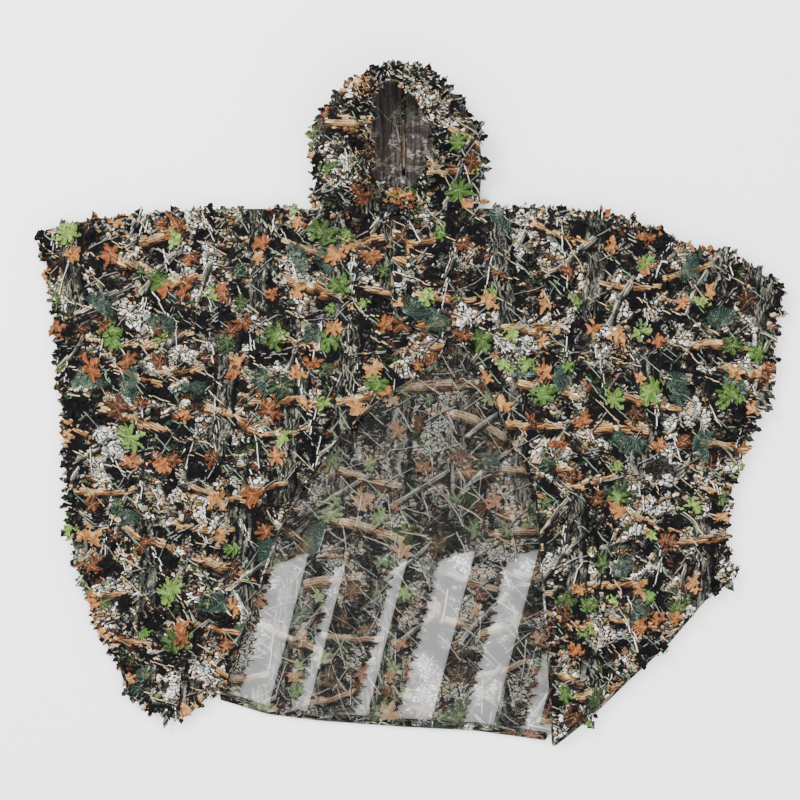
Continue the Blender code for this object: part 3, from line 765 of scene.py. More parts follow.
def stitchesAlong(name, path, spec, material):
    # short raised threads, end to end along a path with a gap between
    path = np.asarray(path, float)
    along = np.concatenate([[0], np.cumsum(np.linalg.norm(np.diff(path, axis=0), axis=1))])
    starts = np.arange(0.002, along[-1] - spec["length"], spec["length"] + spec["gap"])
    ends = starts + spec["length"]
    first = np.stack([np.interp(starts, along, path[:, k]) for k in range(3)], -1)
    last = np.stack([np.interp(ends, along, path[:, k]) for k in range(3)], -1)
    run = last - first
    side = np.cross(run, [0.0, 0.0, 1.0])
    side /= np.linalg.norm(side, axis=1)[:, None]
    share = np.array([0.0, 0.25, 0.75, 1.0])
    swell = np.array([0.25, 1.0, 1.0, 0.25])
    turn = np.array([0, 1, 2, 3]) * math.pi / 2
    middle = first[:, None] + run[:, None] * share[None, :, None]
    points = (middle[:, :, None]
              + side[:, None, None] * (swell[:, None] * np.cos(turn) * spec["thick"])[None, :, :, None]
              + np.array([0, 0, 1.0]) * (swell[:, None] * np.sin(turn) * spec["thick"])[None, :, :, None])
    one = np.concatenate([gridFaces(4, 4, loop=True)[:, ::-1],
                          np.array([[0, 1, 2, 3], [15, 14, 13, 12]])])
    faces = (one[None] + (np.arange(len(first)) * 16)[:, None, None]).reshape(-1, 4)
    cloth = points[..., :2].reshape(-1, 2)
    return makeMesh(name, points.reshape(-1, 3), faces, cloth, [material])


def easeOver(value, low, high):
    share = np.clip((value - low) / (high - low), 0, 1)
    return share * share * (3 - 2 * share)


stitching = {"length": 0.0032, "gap": 0.0016, "thick": 0.0005}


def threadMaterial():
    material = bpy.data.materials.new("thread")
    material.use_nodes = True
    tree = material.node_tree
    shader = tree.nodes["Principled BSDF"]
    place = add(tree, "TexCoord").outputs["Object"]
    twist = add(tree, "TexWave", {"Vector": place, "Scale": 900.0, "Distortion": 0.3},
                bands_direction="DIAGONAL").outputs["Fac"]
    paint = ramp(tree, twist, [(0.0, tint(40, 38, 30)), (1.0, tint(96, 90, 72))])
    tree.links.new(paint, shader.inputs["Base Color"])
    shader.inputs["Roughness"].default_value = 0.6
    bump = add(tree, "Bump", {"Height": twist, "Strength": 0.4, "Distance": 0.0003})
    tree.links.new(bump.outputs[0], shader.inputs["Normal"])
    return material


thread = threadMaterial()


# The back.
back = {
    "top": [(-0.725, 0.335), (-0.485, 0.372), (0.417, 0.372), (0.533, 0.321), (0.730, 0.220)],
    "left": [(-0.725, 0.335), (-0.680, 0.050), (-0.668, -0.200), (-0.600, -0.440)],
    "right": [(0.730, 0.220), (0.715, 0.080), (0.660, -0.050), (0.615, -0.200),
              (0.615, -0.330), (0.580, -0.390)],
    "bottom": [(-0.600, -0.440), (-0.500, -0.560), (-0.379, -0.588), (-0.281, -0.618),
               (-0.179, -0.631), (-0.017, -0.643), (0.135, -0.651), (0.280, -0.671),
               (0.430, -0.545), (0.580, -0.390)],
    "level": 0.0076, "rows": 250, "columns": 300,
    "creases": [(-0.010, 0.085, -0.245, -0.285, 0.0070, 0.0050),
                (0.010, 0.060, -0.215, -0.300, 0.0055, 0.0042),
                (-0.020, 0.020, -0.260, -0.340, 0.0060, 0.0045),
                (0.100, -0.020, -0.030, -0.215, 0.0060, 0.0046),
                (0.055, -0.135, -0.120, -0.300, 0.0070, 0.0050),
                (0.141, -0.295, -0.125, -0.450, 0.0085, 0.0055),
                (0.240, -0.010, 0.060, -0.150, 0.0045, 0.0045),
                (-0.100, -0.330, -0.330, -0.560, 0.0050, 0.0060),
                (0.205, -0.120, 0.245, -0.420, 0.0040, 0.0060),
                (0.060, -0.420, 0.030, -0.600, 0.0035, 0.0060),
                (0.170, 0.010, 0.205, -0.130, 0.0050, 0.0050)],
}
backStrips = {
    "edges": [(-0.740, -0.673), (-0.6435, -0.577), (-0.547, -0.480), (-0.4505, -0.384),
              (-0.354, -0.288), (-0.2575, -0.187), (-0.122, -0.064), (-0.042, 0.055),
              (0.080, 0.142), (0.212, 0.279), (0.339, 0.402), (0.432, 0.500),
              (0.530, 0.600), (0.630, 0.700)],
    "slant": 0.26, "tooth": 0.011, "toothLength": 0.026}
backLeaf = {"length": (0.014, 0.024), "slimness": (0.6, 0.9), "rise": (-0.04, 0.0),
            "curl": (-0.05, 0.05), "roll": 0.05, "droop": 0.0, "jump": 0.05,
            "floor": 0.0004, "roof": 0.0018}


def backHeight(x, y):
    # level, with small unevenness and the long creases
    return (back["level"] + ripple(x, y, 3, 0.0008, 0.060) + ripple(x, y, 4, 0.0003, 0.020)
            + folds(x, y, back["creases"]))


def makeBackSheet():
    top = edgeCurve(back["top"], back["columns"], 3, 0.6)
    bottom = edgeCurve(back["bottom"], back["columns"], 3, 0.6)
    left = edgeCurve(back["left"], back["rows"])
    right = edgeCurve(back["right"], back["rows"])
    patch = coonsPatch(top, bottom, left, right)
    x, y = patch[..., 0], patch[..., 1]
    points = np.dstack([x, y, backHeight(x, y)])
    faces = upward(points, gridFaces(back["rows"], back["columns"]))
    item = makeMesh("backSheet", points.reshape(-1, 3), faces, patch.reshape(-1, 2) + (0.0, 3.1),
                    [cloths["sheerCloth"]])
    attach(item, "back")
    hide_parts("back_panel")
    return item, np.concatenate([top, right, bottom[::-1], left[::-1]])


def makeBackStrip(index):
    # straight sewn edge on one side, cut teeth on the other, both slanting with y
    dice = np.random.default_rng(40 + index)
    low, high = backStrips["edges"][index]
    following = (backStrips["edges"] + [(0.730, 0.8)])[index + 1][0]
    y = np.linspace(0.366, -0.668, 300)
    left = low + backStrips["slant"] * y
    size = high - low + (following + 0.006 - high) * easeOver(
        y + dice.uniform(-0.02, 0.02), -0.33, -0.29)
    # teeth like leaf tips: slow rise, quick fall, a small notch on the way
    wave = (y / backStrips["toothLength"] + 0.35 * np.sin(y * 37 + index)) % 1.0
    tooth = backStrips["tooth"] * (np.where(wave < 0.7, wave / 0.7, (1 - wave) / 0.3) - 0.4)
    tooth = tooth + 0.003 * np.sign(np.sin(y * 2 * math.pi / 0.0087))
    right = left + size + tooth * (1.0 + 0.4 * np.sin(y * 53 + 2 * index))
    leftSide, rightSide = np.array(back["left"])[::-1], np.array(back["right"])[::-1]
    left = np.maximum(left, np.interp(y, leftSide[:, 1], leftSide[:, 0]) + 0.005)
    right = np.minimum(right, np.interp(y, rightSide[:, 1], rightSide[:, 0]) - 0.005)
    hem = np.array(back["bottom"])
    floorEdge = np.interp((left + right) / 2, hem[:, 0], hem[:, 1]) + 0.006
    roofEdge = np.interp((left + right) / 2, *np.array(back["top"]).T) - 0.006
    keep = (right - left > 0.012) & (y > floorEdge) & (y < roofEdge)
    y, left, right = y[keep], left[keep], right[keep]
    share = np.linspace(0, 1, 8)[None]
    x = left[:, None] + (right - left)[:, None] * share
    ys = np.broadcast_to(y[:, None], x.shape)
    level = 0.0027 if index % 2 else 0.0045
    z = level + ripple(x, ys, 60 + index, 0.0005, 0.05)
    points = np.dstack([x, ys, z])
    faces = upward(points, gridFaces(len(y), 8))
    item = makeMesh(f"backStrip{index + 1}", points.reshape(-1, 3), faces,
                    np.stack([x + 1.7 * index, ys + 5.0], -1).reshape(-1, 2),
                    [cloths["backLeafCloth"]])
    thicken(item, 0.0008)
    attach(item, "back")
    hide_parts(f"back_leaf_strip_{index + 1}")
    return item


backSheet, backOutline = makeBackSheet()

hemPath = edgeCurve(back["bottom"][2:8], 160)
backHem = tubeAlong("backHem", np.column_stack([hemPath, 0.0046 + 0.0006 * np.sin(
    np.linspace(0, 60, 160))]), 0.0085, 0.0036, cloths["edgeTape"])
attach(backHem, "back")
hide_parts("back_hem")
hemThread = stitchesAlong("backHemThread", np.column_stack([
    hemPath[:, 0], hemPath[:, 1] + 0.0055, np.full(160, 0.0083)]), stitching, thread)
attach(hemThread, "back")

roots = sownPoints((-0.73, -0.66), (0.73, 0.36), 0.030, 21)
roots = roots[inside(roots, backOutline)]
roots = roots[awayFrom(roots[:, 0], roots[:, 1], np.vstack([backOutline, backOutline[:1]])) > 0.03]
onStrip = roots[:, 0] - backStrips["slant"] * roots[:, 1]
roots = roots[np.any([(onStrip > low + 0.012) & (onStrip < high - 0.012)
                      for low, high in backStrips["edges"]], axis=0)]
dice = np.random.default_rng(22)
backLeaves = leafFlaps("backLeaves", np.column_stack([roots, np.full(len(roots), 0.0012)]),
                       towards(dice.normal(-math.pi / 2, 0.7, len(roots))),
                       upright(len(roots)), backLeaf, 23, cloths["leafCloth"], (2.0, 0.0))
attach(backLeaves, "back")
strips = [makeBackStrip(index) for index in range(len(backStrips["edges"]))]

tapeRun = np.linspace(-0.165, 0.130, 60)
neckTape = tubeAlong("neckTape", np.column_stack([tapeRun, np.full(60, 0.378),
                     np.full(60, 0.0115)]), 0.0045, 0.0012, cloths["edgeTape"])
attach(neckTape, "back")
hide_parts("neck_seam_tape")
print("back made,", len(roots), "leaves under it")


# The fronts.
fronts = {
    "left": {
        "body": "left_front", "level": 0.0316, "edgeLevel": 0.0150, "seed": 5,
        "top": [(-0.033, 0.388), (0.120, 0.388), (0.273, 0.388), (0.417, 0.376),
                (0.493, 0.343), (0.533, 0.325), (0.591, 0.299), (0.641, 0.303),
                (0.697, 0.262), (0.745, 0.235)],
        "side": [(0.745, 0.235), (0.738, 0.150), (0.733, 0.095), (0.722, 0.005),
                 (0.684, -0.045), (0.664, -0.130), (0.638, -0.199), (0.636, -0.300),
                 (0.658, -0.345)],
        "bottom": [(0.289, -0.688), (0.363, -0.629), (0.443, -0.551), (0.520, -0.480),
                   (0.592, -0.395), (0.658, -0.345)],
        "opening": [(-0.033, 0.388), (-0.033, 0.192), (-0.018, 0.166), (0.040, 0.138),
                    (0.115, 0.112), (0.141, 0.057), (0.175, -0.003), (0.219, -0.103),
                    (0.253, -0.165), (0.262, -0.275), (0.278, -0.480), (0.289, -0.688)],
        "strips": (0.005, 0.145, 0.285, 0.430, 0.580, 0.760), "rollFrom": (0.13, 0.19),
        "creases": [(0.650, -0.245, 0.590, -0.395, -0.010, 0.018),
                    (0.690, -0.150, 0.640, -0.300, 0.006, 0.012),
                    (0.560, 0.250, 0.300, -0.250, 0.004, 0.022),
                    (0.250, 0.300, 0.330, -0.400, -0.004, 0.020),
                    (0.620, 0.200, 0.480, -0.300, -0.004, 0.018),
                    (0.130, 0.330, 0.160, 0.080, 0.004, 0.012)],
        "jump": (0.0, 0.0),
    },
    "right": {
        "body": "right_front", "level": 0.0212, "edgeLevel": 0.0125, "seed": 6,
        "top": [(0.018, 0.386), (-0.120, 0.387), (-0.333, 0.388), (-0.485, 0.382),
                (-0.577, 0.373), (-0.665, 0.360), (-0.745, 0.342)],
        "side": [(-0.745, 0.342), (-0.728, 0.295), (-0.719, 0.219), (-0.697, 0.049),
                 (-0.688, -0.091), (-0.680, -0.249), (-0.659, -0.347), (-0.622, -0.455),
                 (-0.585, -0.505)],
        "bottom": [(-0.368, -0.573), (-0.400, -0.583), (-0.440, -0.622), (-0.463, -0.634),
                   (-0.517, -0.611), (-0.557, -0.588), (-0.585, -0.505)],
        "opening": [(0.018, 0.386), (0.020, 0.205), (0.080, 0.125), (0.057, 0.083),
                    (0.005, 0.043), (-0.055, 0.008), (-0.129, -0.058), (-0.185, -0.135),
                    (-0.241, -0.205), (-0.300, -0.370), (-0.368, -0.573)],
        "strips": (-0.760, -0.610, -0.470, -0.330, -0.190, -0.042, 0.090),
        "rollFrom": (-0.16, -0.21),
        "creases": [(-0.620, 0.260, -0.520, -0.300, 0.004, 0.020),
                    (-0.420, 0.300, -0.360, -0.200, -0.004, 0.018),
                    (-0.250, 0.250, -0.330, -0.350, 0.004, 0.018),
                    (-0.120, 0.150, -0.260, -0.180, 0.004, 0.012)],
        "jump": (4.0, 0.6),
    },
}
frontGrid = {"columns": 170, "rows": 200, "roll": 0.0105, "thickness": 0.0011}
frontLeaf = {"length": (0.020, 0.038), "slimness": (0.50, 0.80), "rise": (0.03, 0.30),
             "curl": (-0.25, 0.40), "roll": 0.35, "droop": 0.35, "jump": 0.007,
             "floor": 0.001}
edgeLeaf = {"length": (0.016, 0.036), "slimness": (0.40, 0.70), "rise": (-0.15, 0.25),
            "curl": (-0.35, 0.35), "roll": 0.5, "droop": 0.3, "jump": 0.02, "floor": 0.002}


def frontHeight(x, y, cut):
    # Level, unevenness and creases, falling towards the floor at the free edges and
    # rising to the top of the shoulder roll.
    z = (cut["level"] + ripple(x, y, cut["seed"], 0.0022, 0.115)
         + ripple(x, y, cut["seed"] + 9, 0.0007, 0.034) + folds(x, y, cut["creases"]))
    side = np.exp(-(awayFrom(x, y, cut["side"]) / 0.040) ** 2)
    hem = np.exp(-(awayFrom(x, y, cut["bottom"]) / 0.035) ** 2)
    opening = np.exp(-(awayFrom(x, y, cut["opening"]) / 0.022) ** 2) * easeOver(-y, -0.19, 0.0)
    fall = np.maximum(np.maximum(side, hem), 0.55 * opening)
    z = z + (cut["edgeLevel"] - z) * 0.85 * fall
    top = np.exp(-(awayFrom(x, y, cut["top"]) / 0.026) ** 2) * (1 - 0.6 * side)
    return np.maximum(z + (max(0.0305, cut["level"]) - z) * top, 0.004)


def makeFrontSheet(side):
    cut = fronts[side]
    columns, rows = frontGrid["columns"], frontGrid["rows"]
    top = edgeCurve(cut["top"], columns, 6)
    run = np.gradient(top, axis=0)
    outward = np.stack([-run[:, 1], run[:, 0]], -1)
    outward /= np.hypot(*outward.T)[:, None]
    outward *= np.sign(outward[:, 1].mean())
    size = frontGrid["roll"] * (0.22 + 0.78 * easeOver(
        top[:, 0] * np.sign(cut["rollFrom"][1]),
        abs(cut["rollFrom"][0]), abs(cut["rollFrom"][1])))
    seam = top - outward * size[:, None]
    opening = edgeCurve(cut["opening"], rows, 4)
    sideEdge = edgeCurve(cut["side"], rows, 4)
    opening += (seam[0] - opening[0]) * (1 - np.linspace(0, 1, rows))[:, None] ** 6
    sideEdge += (seam[-1] - sideEdge[0]) * (1 - np.linspace(0, 1, rows))[:, None] ** 6
    bottom = edgeCurve(cut["bottom"], columns, 4)
    patch = coonsPatch(seam, bottom, opening, sideEdge)
    x, y = patch[..., 0], patch[..., 1]
    z = frontHeight(x, y, cut)
    high = z[0]
    # the roll: half a circle from under the shoulder round to the top of the seam line
    turn = np.radians([-90, -90, -90, -70, -50, -30, -10, 10, 30, 50, 70])
    tuck = np.array([0.034, 0.018, 0.006, 0, 0, 0, 0, 0, 0, 0, 0])
    reach = np.cos(turn)[:, None] * size[None] - tuck[:, None] * (size / frontGrid["roll"])[None]
    rollXY = seam[None] + outward[None] * reach[..., None]
    rollZ = np.maximum((high - size)[None] + np.sin(turn)[:, None] * size[None], 0.0032)
    points = np.concatenate([np.dstack([rollXY, rollZ]), np.dstack([x, y, z])])
    steps = np.linalg.norm(np.diff(points, axis=0), axis=2)
    down = np.concatenate([np.zeros((1, columns)), np.cumsum(steps, 0)])
    cloth = np.concatenate([patch[:1] + outward[None] * (down[11:12] - down[:11])[..., None],
                            patch]) + cut["jump"]
    faces = gridFaces(len(points), columns)
    flip = upward(points[11:], gridFaces(rows, columns))[0, 0] != 0
    item = makeMesh(f"{side}Front", points.reshape(-1, 3), faces[:, ::-1] if flip else faces,
                    cloth.reshape(-1, 2), [cloths["frontCloth"]])
    thicken(item, frontGrid["thickness"])
    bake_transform(item)
    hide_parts(f"{side}_front_panel", f"{side}_shoulder_fold")
    outline = np.concatenate([top, sideEdge[1:], bottom[::-1][1:], opening[::-1][1:]])
    return item, outline


def frontPath(line, cut, count, lift=0.0):
    found = edgeCurve(line, count, 4)
    return np.column_stack([found, frontHeight(found[:, 0], found[:, 1], cut) + lift])


def makeFront(side):
    cut = fronts[side]
    sheet, outline = makeFrontSheet(side)
    extras = []
    ring = np.vstack([outline, outline[:1]])
    low, high = outline.min(0), outline.max(0)
    roots = sownPoints(low, high, 0.0210, 31 + cut["seed"])
    roots = roots[inside(roots, outline)]
    roots = roots[awayFrom(roots[:, 0], roots[:, 1], ring) > 0.006]
    roots = roots[awayFrom(roots[:, 0], roots[:, 1], cut["opening"]) > 0.024]
    clear = (roots[:, 1] < 0.190) | (np.abs(roots[:, 0] + 0.010) > 0.036)
    roots = roots[clear]
    dice = np.random.default_rng(cut["seed"])
    for index, (start, end) in enumerate(zip(cut["strips"][:-1], cut["strips"][1:])):
        here = roots[(roots[:, 0] >= start) & (roots[:, 0] < end)]
        if side == "right" and index == 5:
            here = here[here[:, 1] < 0.185]
        spot = np.column_stack([here, frontHeight(here[:, 0], here[:, 1], cut) + 0.0004])
        ways = towards(dice.normal(-math.pi / 2, 0.85, len(here)))
        leaves = leafFlaps(f"{side}FrontLeaves{index + 1}", spot, ways, upright(len(here)),
                           frontLeaf, 100 * cut["seed"] + index, cloths["leafCloth"],
                           cut["jump"])
        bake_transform(leaves)
        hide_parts(f"{side}_front_leaf_strip_{index + 1}")
        extras.append(leaves)
    # jagged leaves along the side edge, pointing out
    edge = edgeCurve(cut["side"], 400, 4)
    spots, out = fringeRoots(edge, 0.0085, 7 + cut["seed"])
    if side == "right":
        low = edgeCurve(cut["bottom"], 200, 4)
        lowSpots, lowOut = fringeRoots(low[::-1], 0.013, 17 + cut["seed"])
        spots, out = np.vstack([spots, lowSpots]), np.concatenate([out, lowOut])
    ridge = edgeCurve(cut["top"], 300, 6)
    ridgeSpots, ridgeOut = fringeRoots(ridge, 0.0075, 27 + cut["seed"])
    ridgeSpots = ridgeSpots - np.array([0.0, 0.004])
    clear = (ridgeSpots[:, 0] > 0.17) | (ridgeSpots[:, 0] < -0.21)
    spots = np.vstack([spots, ridgeSpots[clear]])
    out = np.concatenate([out, ridgeOut[clear]])
    middle = outline.mean(0)
    facing = ((spots - middle) * np.stack([np.cos(out), np.sin(out)], -1)).sum(1) > 0
    out = np.where(facing, out, out + math.pi)
    out = out + dice.normal(0, 0.55, len(out))
    spots = spots - np.stack([np.cos(out), np.sin(out)], -1) * dice.uniform(
        0.010, 0.024, len(out))[:, None]
    spot = np.column_stack([spots, frontHeight(spots[:, 0], spots[:, 1], cut) + 0.001])
    fringe = leafFlaps(f"{side}FrontFringe", spot, towards(out), upright(len(out)), edgeLeaf,
                       300 + cut["seed"], cloths["leafCloth"], cut["jump"])
    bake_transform(fringe)
    extras.append(fringe)
    # bound edges: the binding down the opening and the hem
    binding = tubeAlong(f"{side}FrontBinding", frontPath(cut["opening"], cut, 220, -0.0003),
                        0.0024, 0.0015, cloths["edgeTape"], 8)
    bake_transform(binding)
    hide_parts(f"{side}_front_binding")
    hem = tubeAlong(f"{side}FrontHem", frontPath(cut["bottom"], cut, 120, -0.0003),
                    0.0035, 0.0018, cloths["edgeTape"], 8)
    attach(hem, cut["body"])
    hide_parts(f"{side}_front_hem")
    # placket: a flat facing down the closed part of the front
    share = np.linspace(0, 1, 14)[None]
    y = np.linspace(0.372, 0.192, 90)[:, None]
    x = -0.0322 + 0.0282 * share + 0 * y
    y = y + 0 * x
    lift = 0.0007 + 0.0011 * np.sqrt(np.clip(1 - (2 * share - 1) ** 8, 0, 1)) + 0 * x
    z = frontHeight(x, y, cut) + lift
    points = np.dstack([x, y, z])
    placket = makeMesh(f"{side}Placket", points.reshape(-1, 3),
                       upward(points, gridFaces(90, 14)),
                       points[..., :2].reshape(-1, 2) + (0.3, 0.9), [cloths["leafCloth"]])
    thicken(placket, 0.0008)
    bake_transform(placket)
    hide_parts(f"{side}_placket")
    runs = []
    for name, where in (("Outer", -0.0300), ("Inner", -0.0065)):
        line = np.column_stack([np.full(60, where), np.linspace(0.366, 0.196, 60)])
        high = frontHeight(line[:, 0], line[:, 1], cut) + 0.0021
        runs.append(stitchesAlong(f"{side}PlacketThread{name}", np.column_stack([line, high]),
                                  stitching, thread))
        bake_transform(runs[-1])
    extras += [binding, hem, placket, *runs]
    print(side, "front made,", len(roots), "leaves and", len(spot), "at its edges")
    return sheet


for side in ("right", "left"):
    makeFront(side)


# The hood.
hood = {
    "middle": (-0.013, 0.538),
    "outline": [(-0.175, 0.380), (-0.180, 0.427), (-0.186, 0.473), (-0.182, 0.537),
                (-0.150, 0.586), (-0.120, 0.616), (-0.070, 0.648), (-0.017, 0.666),
                (0.044, 0.646), (0.084, 0.602), (0.118, 0.568), (0.140, 0.527),
                (0.144, 0.489), (0.143, 0.430), (0.142, 0.387), (0.060, 0.382),
                (-0.080, 0.381)],
    "opening": [(-0.045, 0.636), (-0.023, 0.634), (0.008, 0.606), (0.033, 0.565),
                (0.049, 0.530), (0.051, 0.512), (0.046, 0.470), (0.031, 0.437),
                (0.000, 0.424), (-0.030, 0.421), (-0.060, 0.427), (-0.075, 0.447),
                (-0.074, 0.500), (-0.072, 0.560), (-0.069, 0.605), (-0.060, 0.628)],
    "columns": 168, "wall": 0.003, "brimHeight": 0.106, "sideHeight": 0.052,
}
hoodLeaf = {"length": (0.020, 0.036), "slimness": (0.50, 0.80), "rise": (0.03, 0.40),
            "curl": (-0.3, 0.5), "roll": 0.45, "droop": 0.35, "jump": 0.010, "floor": 0.003,
            "roof": 0.121}
brimLeaf = {"length": (0.016, 0.030), "slimness": (0.45, 0.75), "rise": (0.15, 0.75),
            "curl": (-0.5, 0.3), "roll": 0.5, "droop": 0.3, "jump": 0.02, "roof": 0.123}


def ringAt(points, angles, middle, soften):
    # a closed outline as its distance from the middle at each angle, eased
    away = np.asarray(points, float) - middle
    turn = np.arctan2(away[:, 1], away[:, 0])
    order = np.argsort(turn)
    turn, reach = turn[order], np.hypot(*away[order].T)
    turn = np.concatenate([turn - 2 * math.pi, turn, turn + 2 * math.pi])
    found = np.interp(angles, turn, np.tile(reach, 3))
    for _ in range(soften):
        found = (np.roll(found, 1) + 2 * found + np.roll(found, -1)) / 4
    return np.stack([np.cos(angles), np.sin(angles)], -1) * found[:, None] + middle


def neckEase(y):
    # the hood flattens towards the neck
    return 0.34 + 0.66 * easeOver(y, 0.395, 0.545)


def hoodRows():
    # One closed skin: from the middle of the outside underneath, out to the side, up and
    # in to the brim, round it, and back down the inside to the middle of the floor.
    angles = np.linspace(-math.pi, math.pi, hood["columns"], endpoint=False)
    middle = np.array(hood["middle"])
    side = ringAt(hood["outline"], angles, middle, 3)
    brim = ringAt(hood["opening"], angles, middle, 2)
    crease = (np.sin(7 * angles + 0.8) + 0.6 * np.sin(12 * angles + 2.1)
              + 0.4 * np.sin(19 * angles)) / 2
    rows, heights, inner = [], [], []

    def lay(xy, z, isInner):
        rows.append(xy)
        heights.append(np.broadcast_to(z, (hood["columns"],)).astype(float))
        inner.append(isInner)

    def heightAt(share, xy):
        # a quarter of an oval from the widest line, share 0, up to the brim, share 1
        ease = neckEase(xy[:, 1])
        top = np.maximum(hood["brimHeight"] * ease, 0.0385)
        mid = hood["sideHeight"] * ease
        return mid + (top - mid) * np.sqrt(np.clip(1 - (1 - share) ** 2.3, 0, 1))

    for share in (0.0, 0.25, 0.5, 0.7, 0.84, 0.92, 0.97, 0.99):
        xy = middle + (side - middle) * share
        mid = hood["sideHeight"] * neckEase(xy[:, 1])
        lay(xy, 0.0035 + (mid - 0.0035) * (1 - np.sqrt(np.clip(1 - share ** 9, 0, 1))), False)
    for share in np.linspace(0.0, 1.0, 26):
        xy = side + (brim - side) * share
        swell = 4 * share * (1 - share)
        z = heightAt(share, xy) + 0.0035 * swell * crease
        z = z + 0.0014 * swell * np.sin(angles * 31 + share * 9)
        xy = xy + (xy - middle) * (0.016 * swell * np.sin(angles * 9 + 4 * share))[:, None]
        lay(xy, z, False)
    away = (brim - middle) / np.hypot(*(brim - middle).T)[:, None]
    topHeight = heightAt(1.0, brim)
    for inward, low in ((0.0022, 0.0008), (0.0034, 0.0026), (0.0030, 0.0050), (0.0010, 0.0072)):
        lay(brim - away * inward, topHeight - low, inward < 0.0031 and low > 0.004)
    for share in np.linspace(0.08, 1.0, 18):
        rest = 1 - share
        xy = side + (brim - side) * rest
        xy = xy - away * (0.0125 * share)
        z = heightAt(rest, xy) - 0.0045 - 0.003 * share
        z = z + 0.004 * np.sin(angles * 8 + 5 * share) * 4 * share * rest
        lay(xy, z, True)
    for share in (0.97, 0.93, 0.86, 0.74, 0.6, 0.45, 0.3, 0.15, 0.0):
        xy = middle + (side - away * 0.0125 - middle) * share
        mid = hood["sideHeight"] * neckEase(xy[:, 1]) - 0.0075
        z = 0.0078 + (mid - 0.0078) * (1 - np.sqrt(np.clip(1 - share ** 7, 0, 1)))
        z = z + 0.0035 * share * (1 - share) * 4 * np.sin(angles * 6 + 7 * share)
        lay(xy, np.maximum(z, 0.0068), True)
    return np.array(rows), np.array(heights), np.array(inner), angles


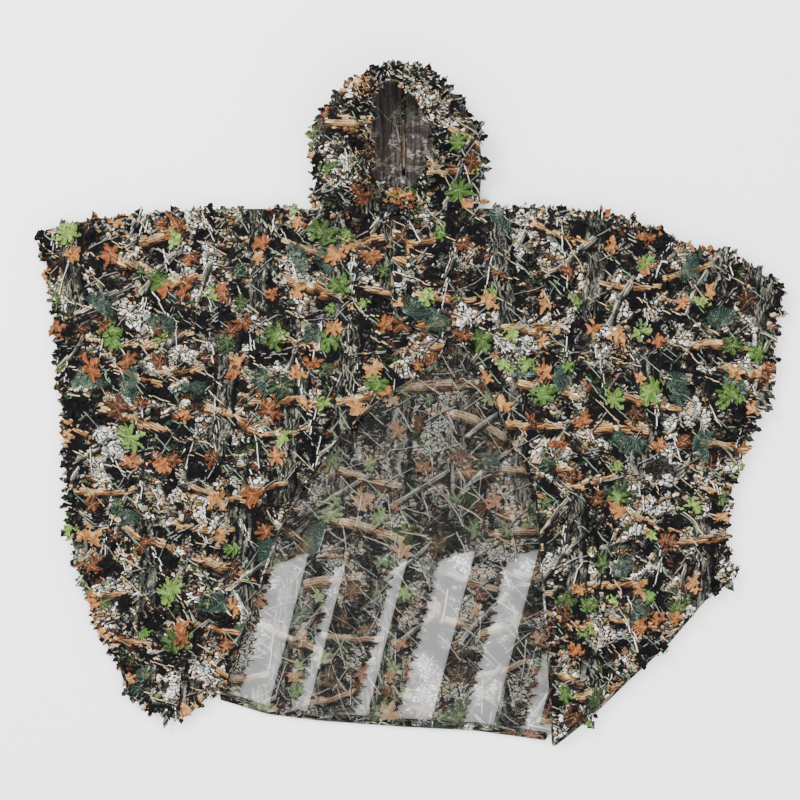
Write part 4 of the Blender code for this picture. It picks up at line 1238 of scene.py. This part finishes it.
def makeHood():
    rows, heights, inner, angles = hoodRows()
    points = np.dstack([rows, heights])
    count = len(points)
    faces = gridFaces(count, hood["columns"], loop=True)
    marks = np.repeat(inner[:-1] & inner[1:], hood["columns"]).astype(int)
    cloth = rows.copy()
    cloth[:8, :, 1] += 1.5
    cloth[inner] += (0.4, 2.2)
    item = makeMesh("hoodShell", points.reshape(-1, 3), faces, cloth.reshape(-1, 2),
                    [cloths["frontCloth"], cloths["hoodLining"]], marks)
    weld(item)
    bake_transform(item)
    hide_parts("hood_left_panel", "hood_right_panel")
    extras = []
    # leaves over the outside, sown by area on the skin from the widest line to the brim
    top = points[5:34]
    along = np.roll(top, -1, 1) - top
    down = np.zeros_like(top)
    down[:-1] = top[:-1] - top[1:]
    down[-1] = down[-2]
    up = np.cross(along, -down)
    area = np.linalg.norm(up, axis=2)
    up /= np.maximum(area, 1e-12)[..., None]
    up[(up * (top - np.array([*hood["middle"], 0.03]))).sum(2) < 0] *= -1
    dice = np.random.default_rng(51)
    area[:3] *= 0.3
    order = dice.choice(area.size, 560, replace=False, p=(area / area.sum()).ravel())
    root = top.reshape(-1, 3)[order]
    lift = up.reshape(-1, 3)[order]
    fall = down.reshape(-1, 3)[order]
    fall -= (fall * lift).sum(1)[:, None] * lift
    fall /= np.maximum(np.linalg.norm(fall, axis=1), 1e-9)[:, None]
    cross = np.cross(lift, fall)
    spin = dice.normal(0, 0.75, len(root))
    way = fall * np.cos(spin)[:, None] + cross * np.sin(spin)[:, None]
    smooth = (root[:, 0] > 0.050) & (root[:, 1] < 0.575) & (dice.uniform(0, 1, len(root)) < 0.8)
    for name, node, pick in (("hoodLeavesLeft", "hood_left_leaves", root[:, 0] >= -0.018),
                             ("hoodLeavesRight", "hood_right_leaves", root[:, 0] < -0.018)):
        pick = pick & ~smooth
        leaves = leafFlaps(name, root[pick] + lift[pick] * 0.0004, way[pick], lift[pick],
                           hoodLeaf, 52, cloths["leafCloth"])
        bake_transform(leaves)
        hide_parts(node)
        extras.append(leaves)
    # a crown of leaves round the brim and a jagged line of them round the outside
    brim, side = points[33], points[8]
    for name, ring, share, spread, lift, spec in (
            ("hoodBrimLeaves", brim, 0.004, 1.7, 0.001, brimLeaf),
            ("hoodSideLeaves", side, -0.010, 0.6, 0.002, edgeLeaf)):
        many = 260 if name == "hoodBrimLeaves" else 140
        place = dice.uniform(0, hood["columns"], many)
        low = np.floor(place).astype(int) % hood["columns"]
        part = (place % 1)[:, None]
        spot = ring[low] * (1 - part) + ring[(low + 1) % hood["columns"]] * part
        out = np.arctan2(spot[:, 1] - hood["middle"][1], spot[:, 0] - hood["middle"][0])
        outXYZ = towards(out)
        share = share + (0.004 if name == "hoodBrimLeaves" else 0.0)
        spot = spot + outXYZ * share + np.array([0, 0, lift])
        keep = spot[:, 1] > 0.400
        keep &= ~((name == "hoodSideLeaves") & (spot[:, 0] > 0.125) & (spot[:, 1] < 0.55)
                  & (dice.uniform(0, 1, many) < 0.85))
        ways = towards(out + dice.normal(0, spread, many))
        leaves = leafFlaps(name, spot[keep], ways[keep], upright(int(keep.sum())), spec, 54,
                           cloths["leafCloth"])
        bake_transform(leaves)
        extras.append(leaves)
    # brim binding and the tape down the middle of the lining
    ring = np.vstack([points[35], points[35][:1]])
    binding = tubeAlong("hoodBrim", ring, 0.0026, 0.0018, cloths["edgeTape"], 8)
    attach(binding, "hood")
    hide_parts("hood_brim_binding")
    run = np.linspace(0.455, 0.640, 80)
    tape = tubeAlong("hoodSeamTape", np.column_stack([np.full(80, -0.010), run,
                     np.full(80, 0.0128)]), 0.0035, 0.0009, cloths["edgeTape"], 8)
    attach(tape, "hood")
    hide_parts("hood_centre_tape")
    extras += [binding, tape]
    print("hood made,", len(root), "leaves on it")
    return item


makeHood()


# The press stud.
snapLooks = {
    "snapBlack": {"tone": tint(6, 6, 8), "worn": tint(22, 22, 24), "metal": 0.0,
                  "rough": 0.62, "shine": 0.08},
    "snapSteel": {"tone": tint(150, 150, 148), "worn": tint(205, 204, 200), "metal": 1.0,
                  "rough": 0.34, "shine": 0.5},
}


def snapMaterial(name, look):
    # painted or bare metal with fine, paler worn scuffs from noise
    material = bpy.data.materials.new(name)
    material.use_nodes = True
    tree = material.node_tree
    shader = tree.nodes["Principled BSDF"]
    place = add(tree, "TexCoord").outputs["Object"]
    scuffs = add(tree, "TexNoise", {"Vector": place, "Scale": 700.0, "Detail": 4.0}).outputs[0]
    paint = ramp(tree, scuffs, [(0.35, look["tone"]), (0.80, look["worn"])])
    tree.links.new(paint, shader.inputs["Base Color"])
    shader.inputs["Metallic"].default_value = look["metal"]
    shader.inputs["Specular IOR Level"].default_value = look["shine"]
    tree.links.new(calc(tree, "MULTIPLY_ADD", scuffs, 0.2, look["rough"] - 0.1),
                   shader.inputs["Roughness"])
    bump = add(tree, "Bump", {"Height": scuffs, "Strength": 0.15, "Distance": 0.0002})
    tree.links.new(bump.outputs[0], shader.inputs["Normal"])
    return material


snapPaints = {name: snapMaterial(name, look) for name, look in snapLooks.items()}
for node, paint in (("snap_cap", "snapBlack"), ("snap_socket", "snapSteel"),
                    ("snap_stud", "snapSteel"), ("snap_post", "snapSteel")):
    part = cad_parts[node]
    for place in part.material_slots:
        place.material = snapPaints[paint]
    if not part.material_slots:
        part.data.materials.append(snapPaints[paint])
print("press stud finished")
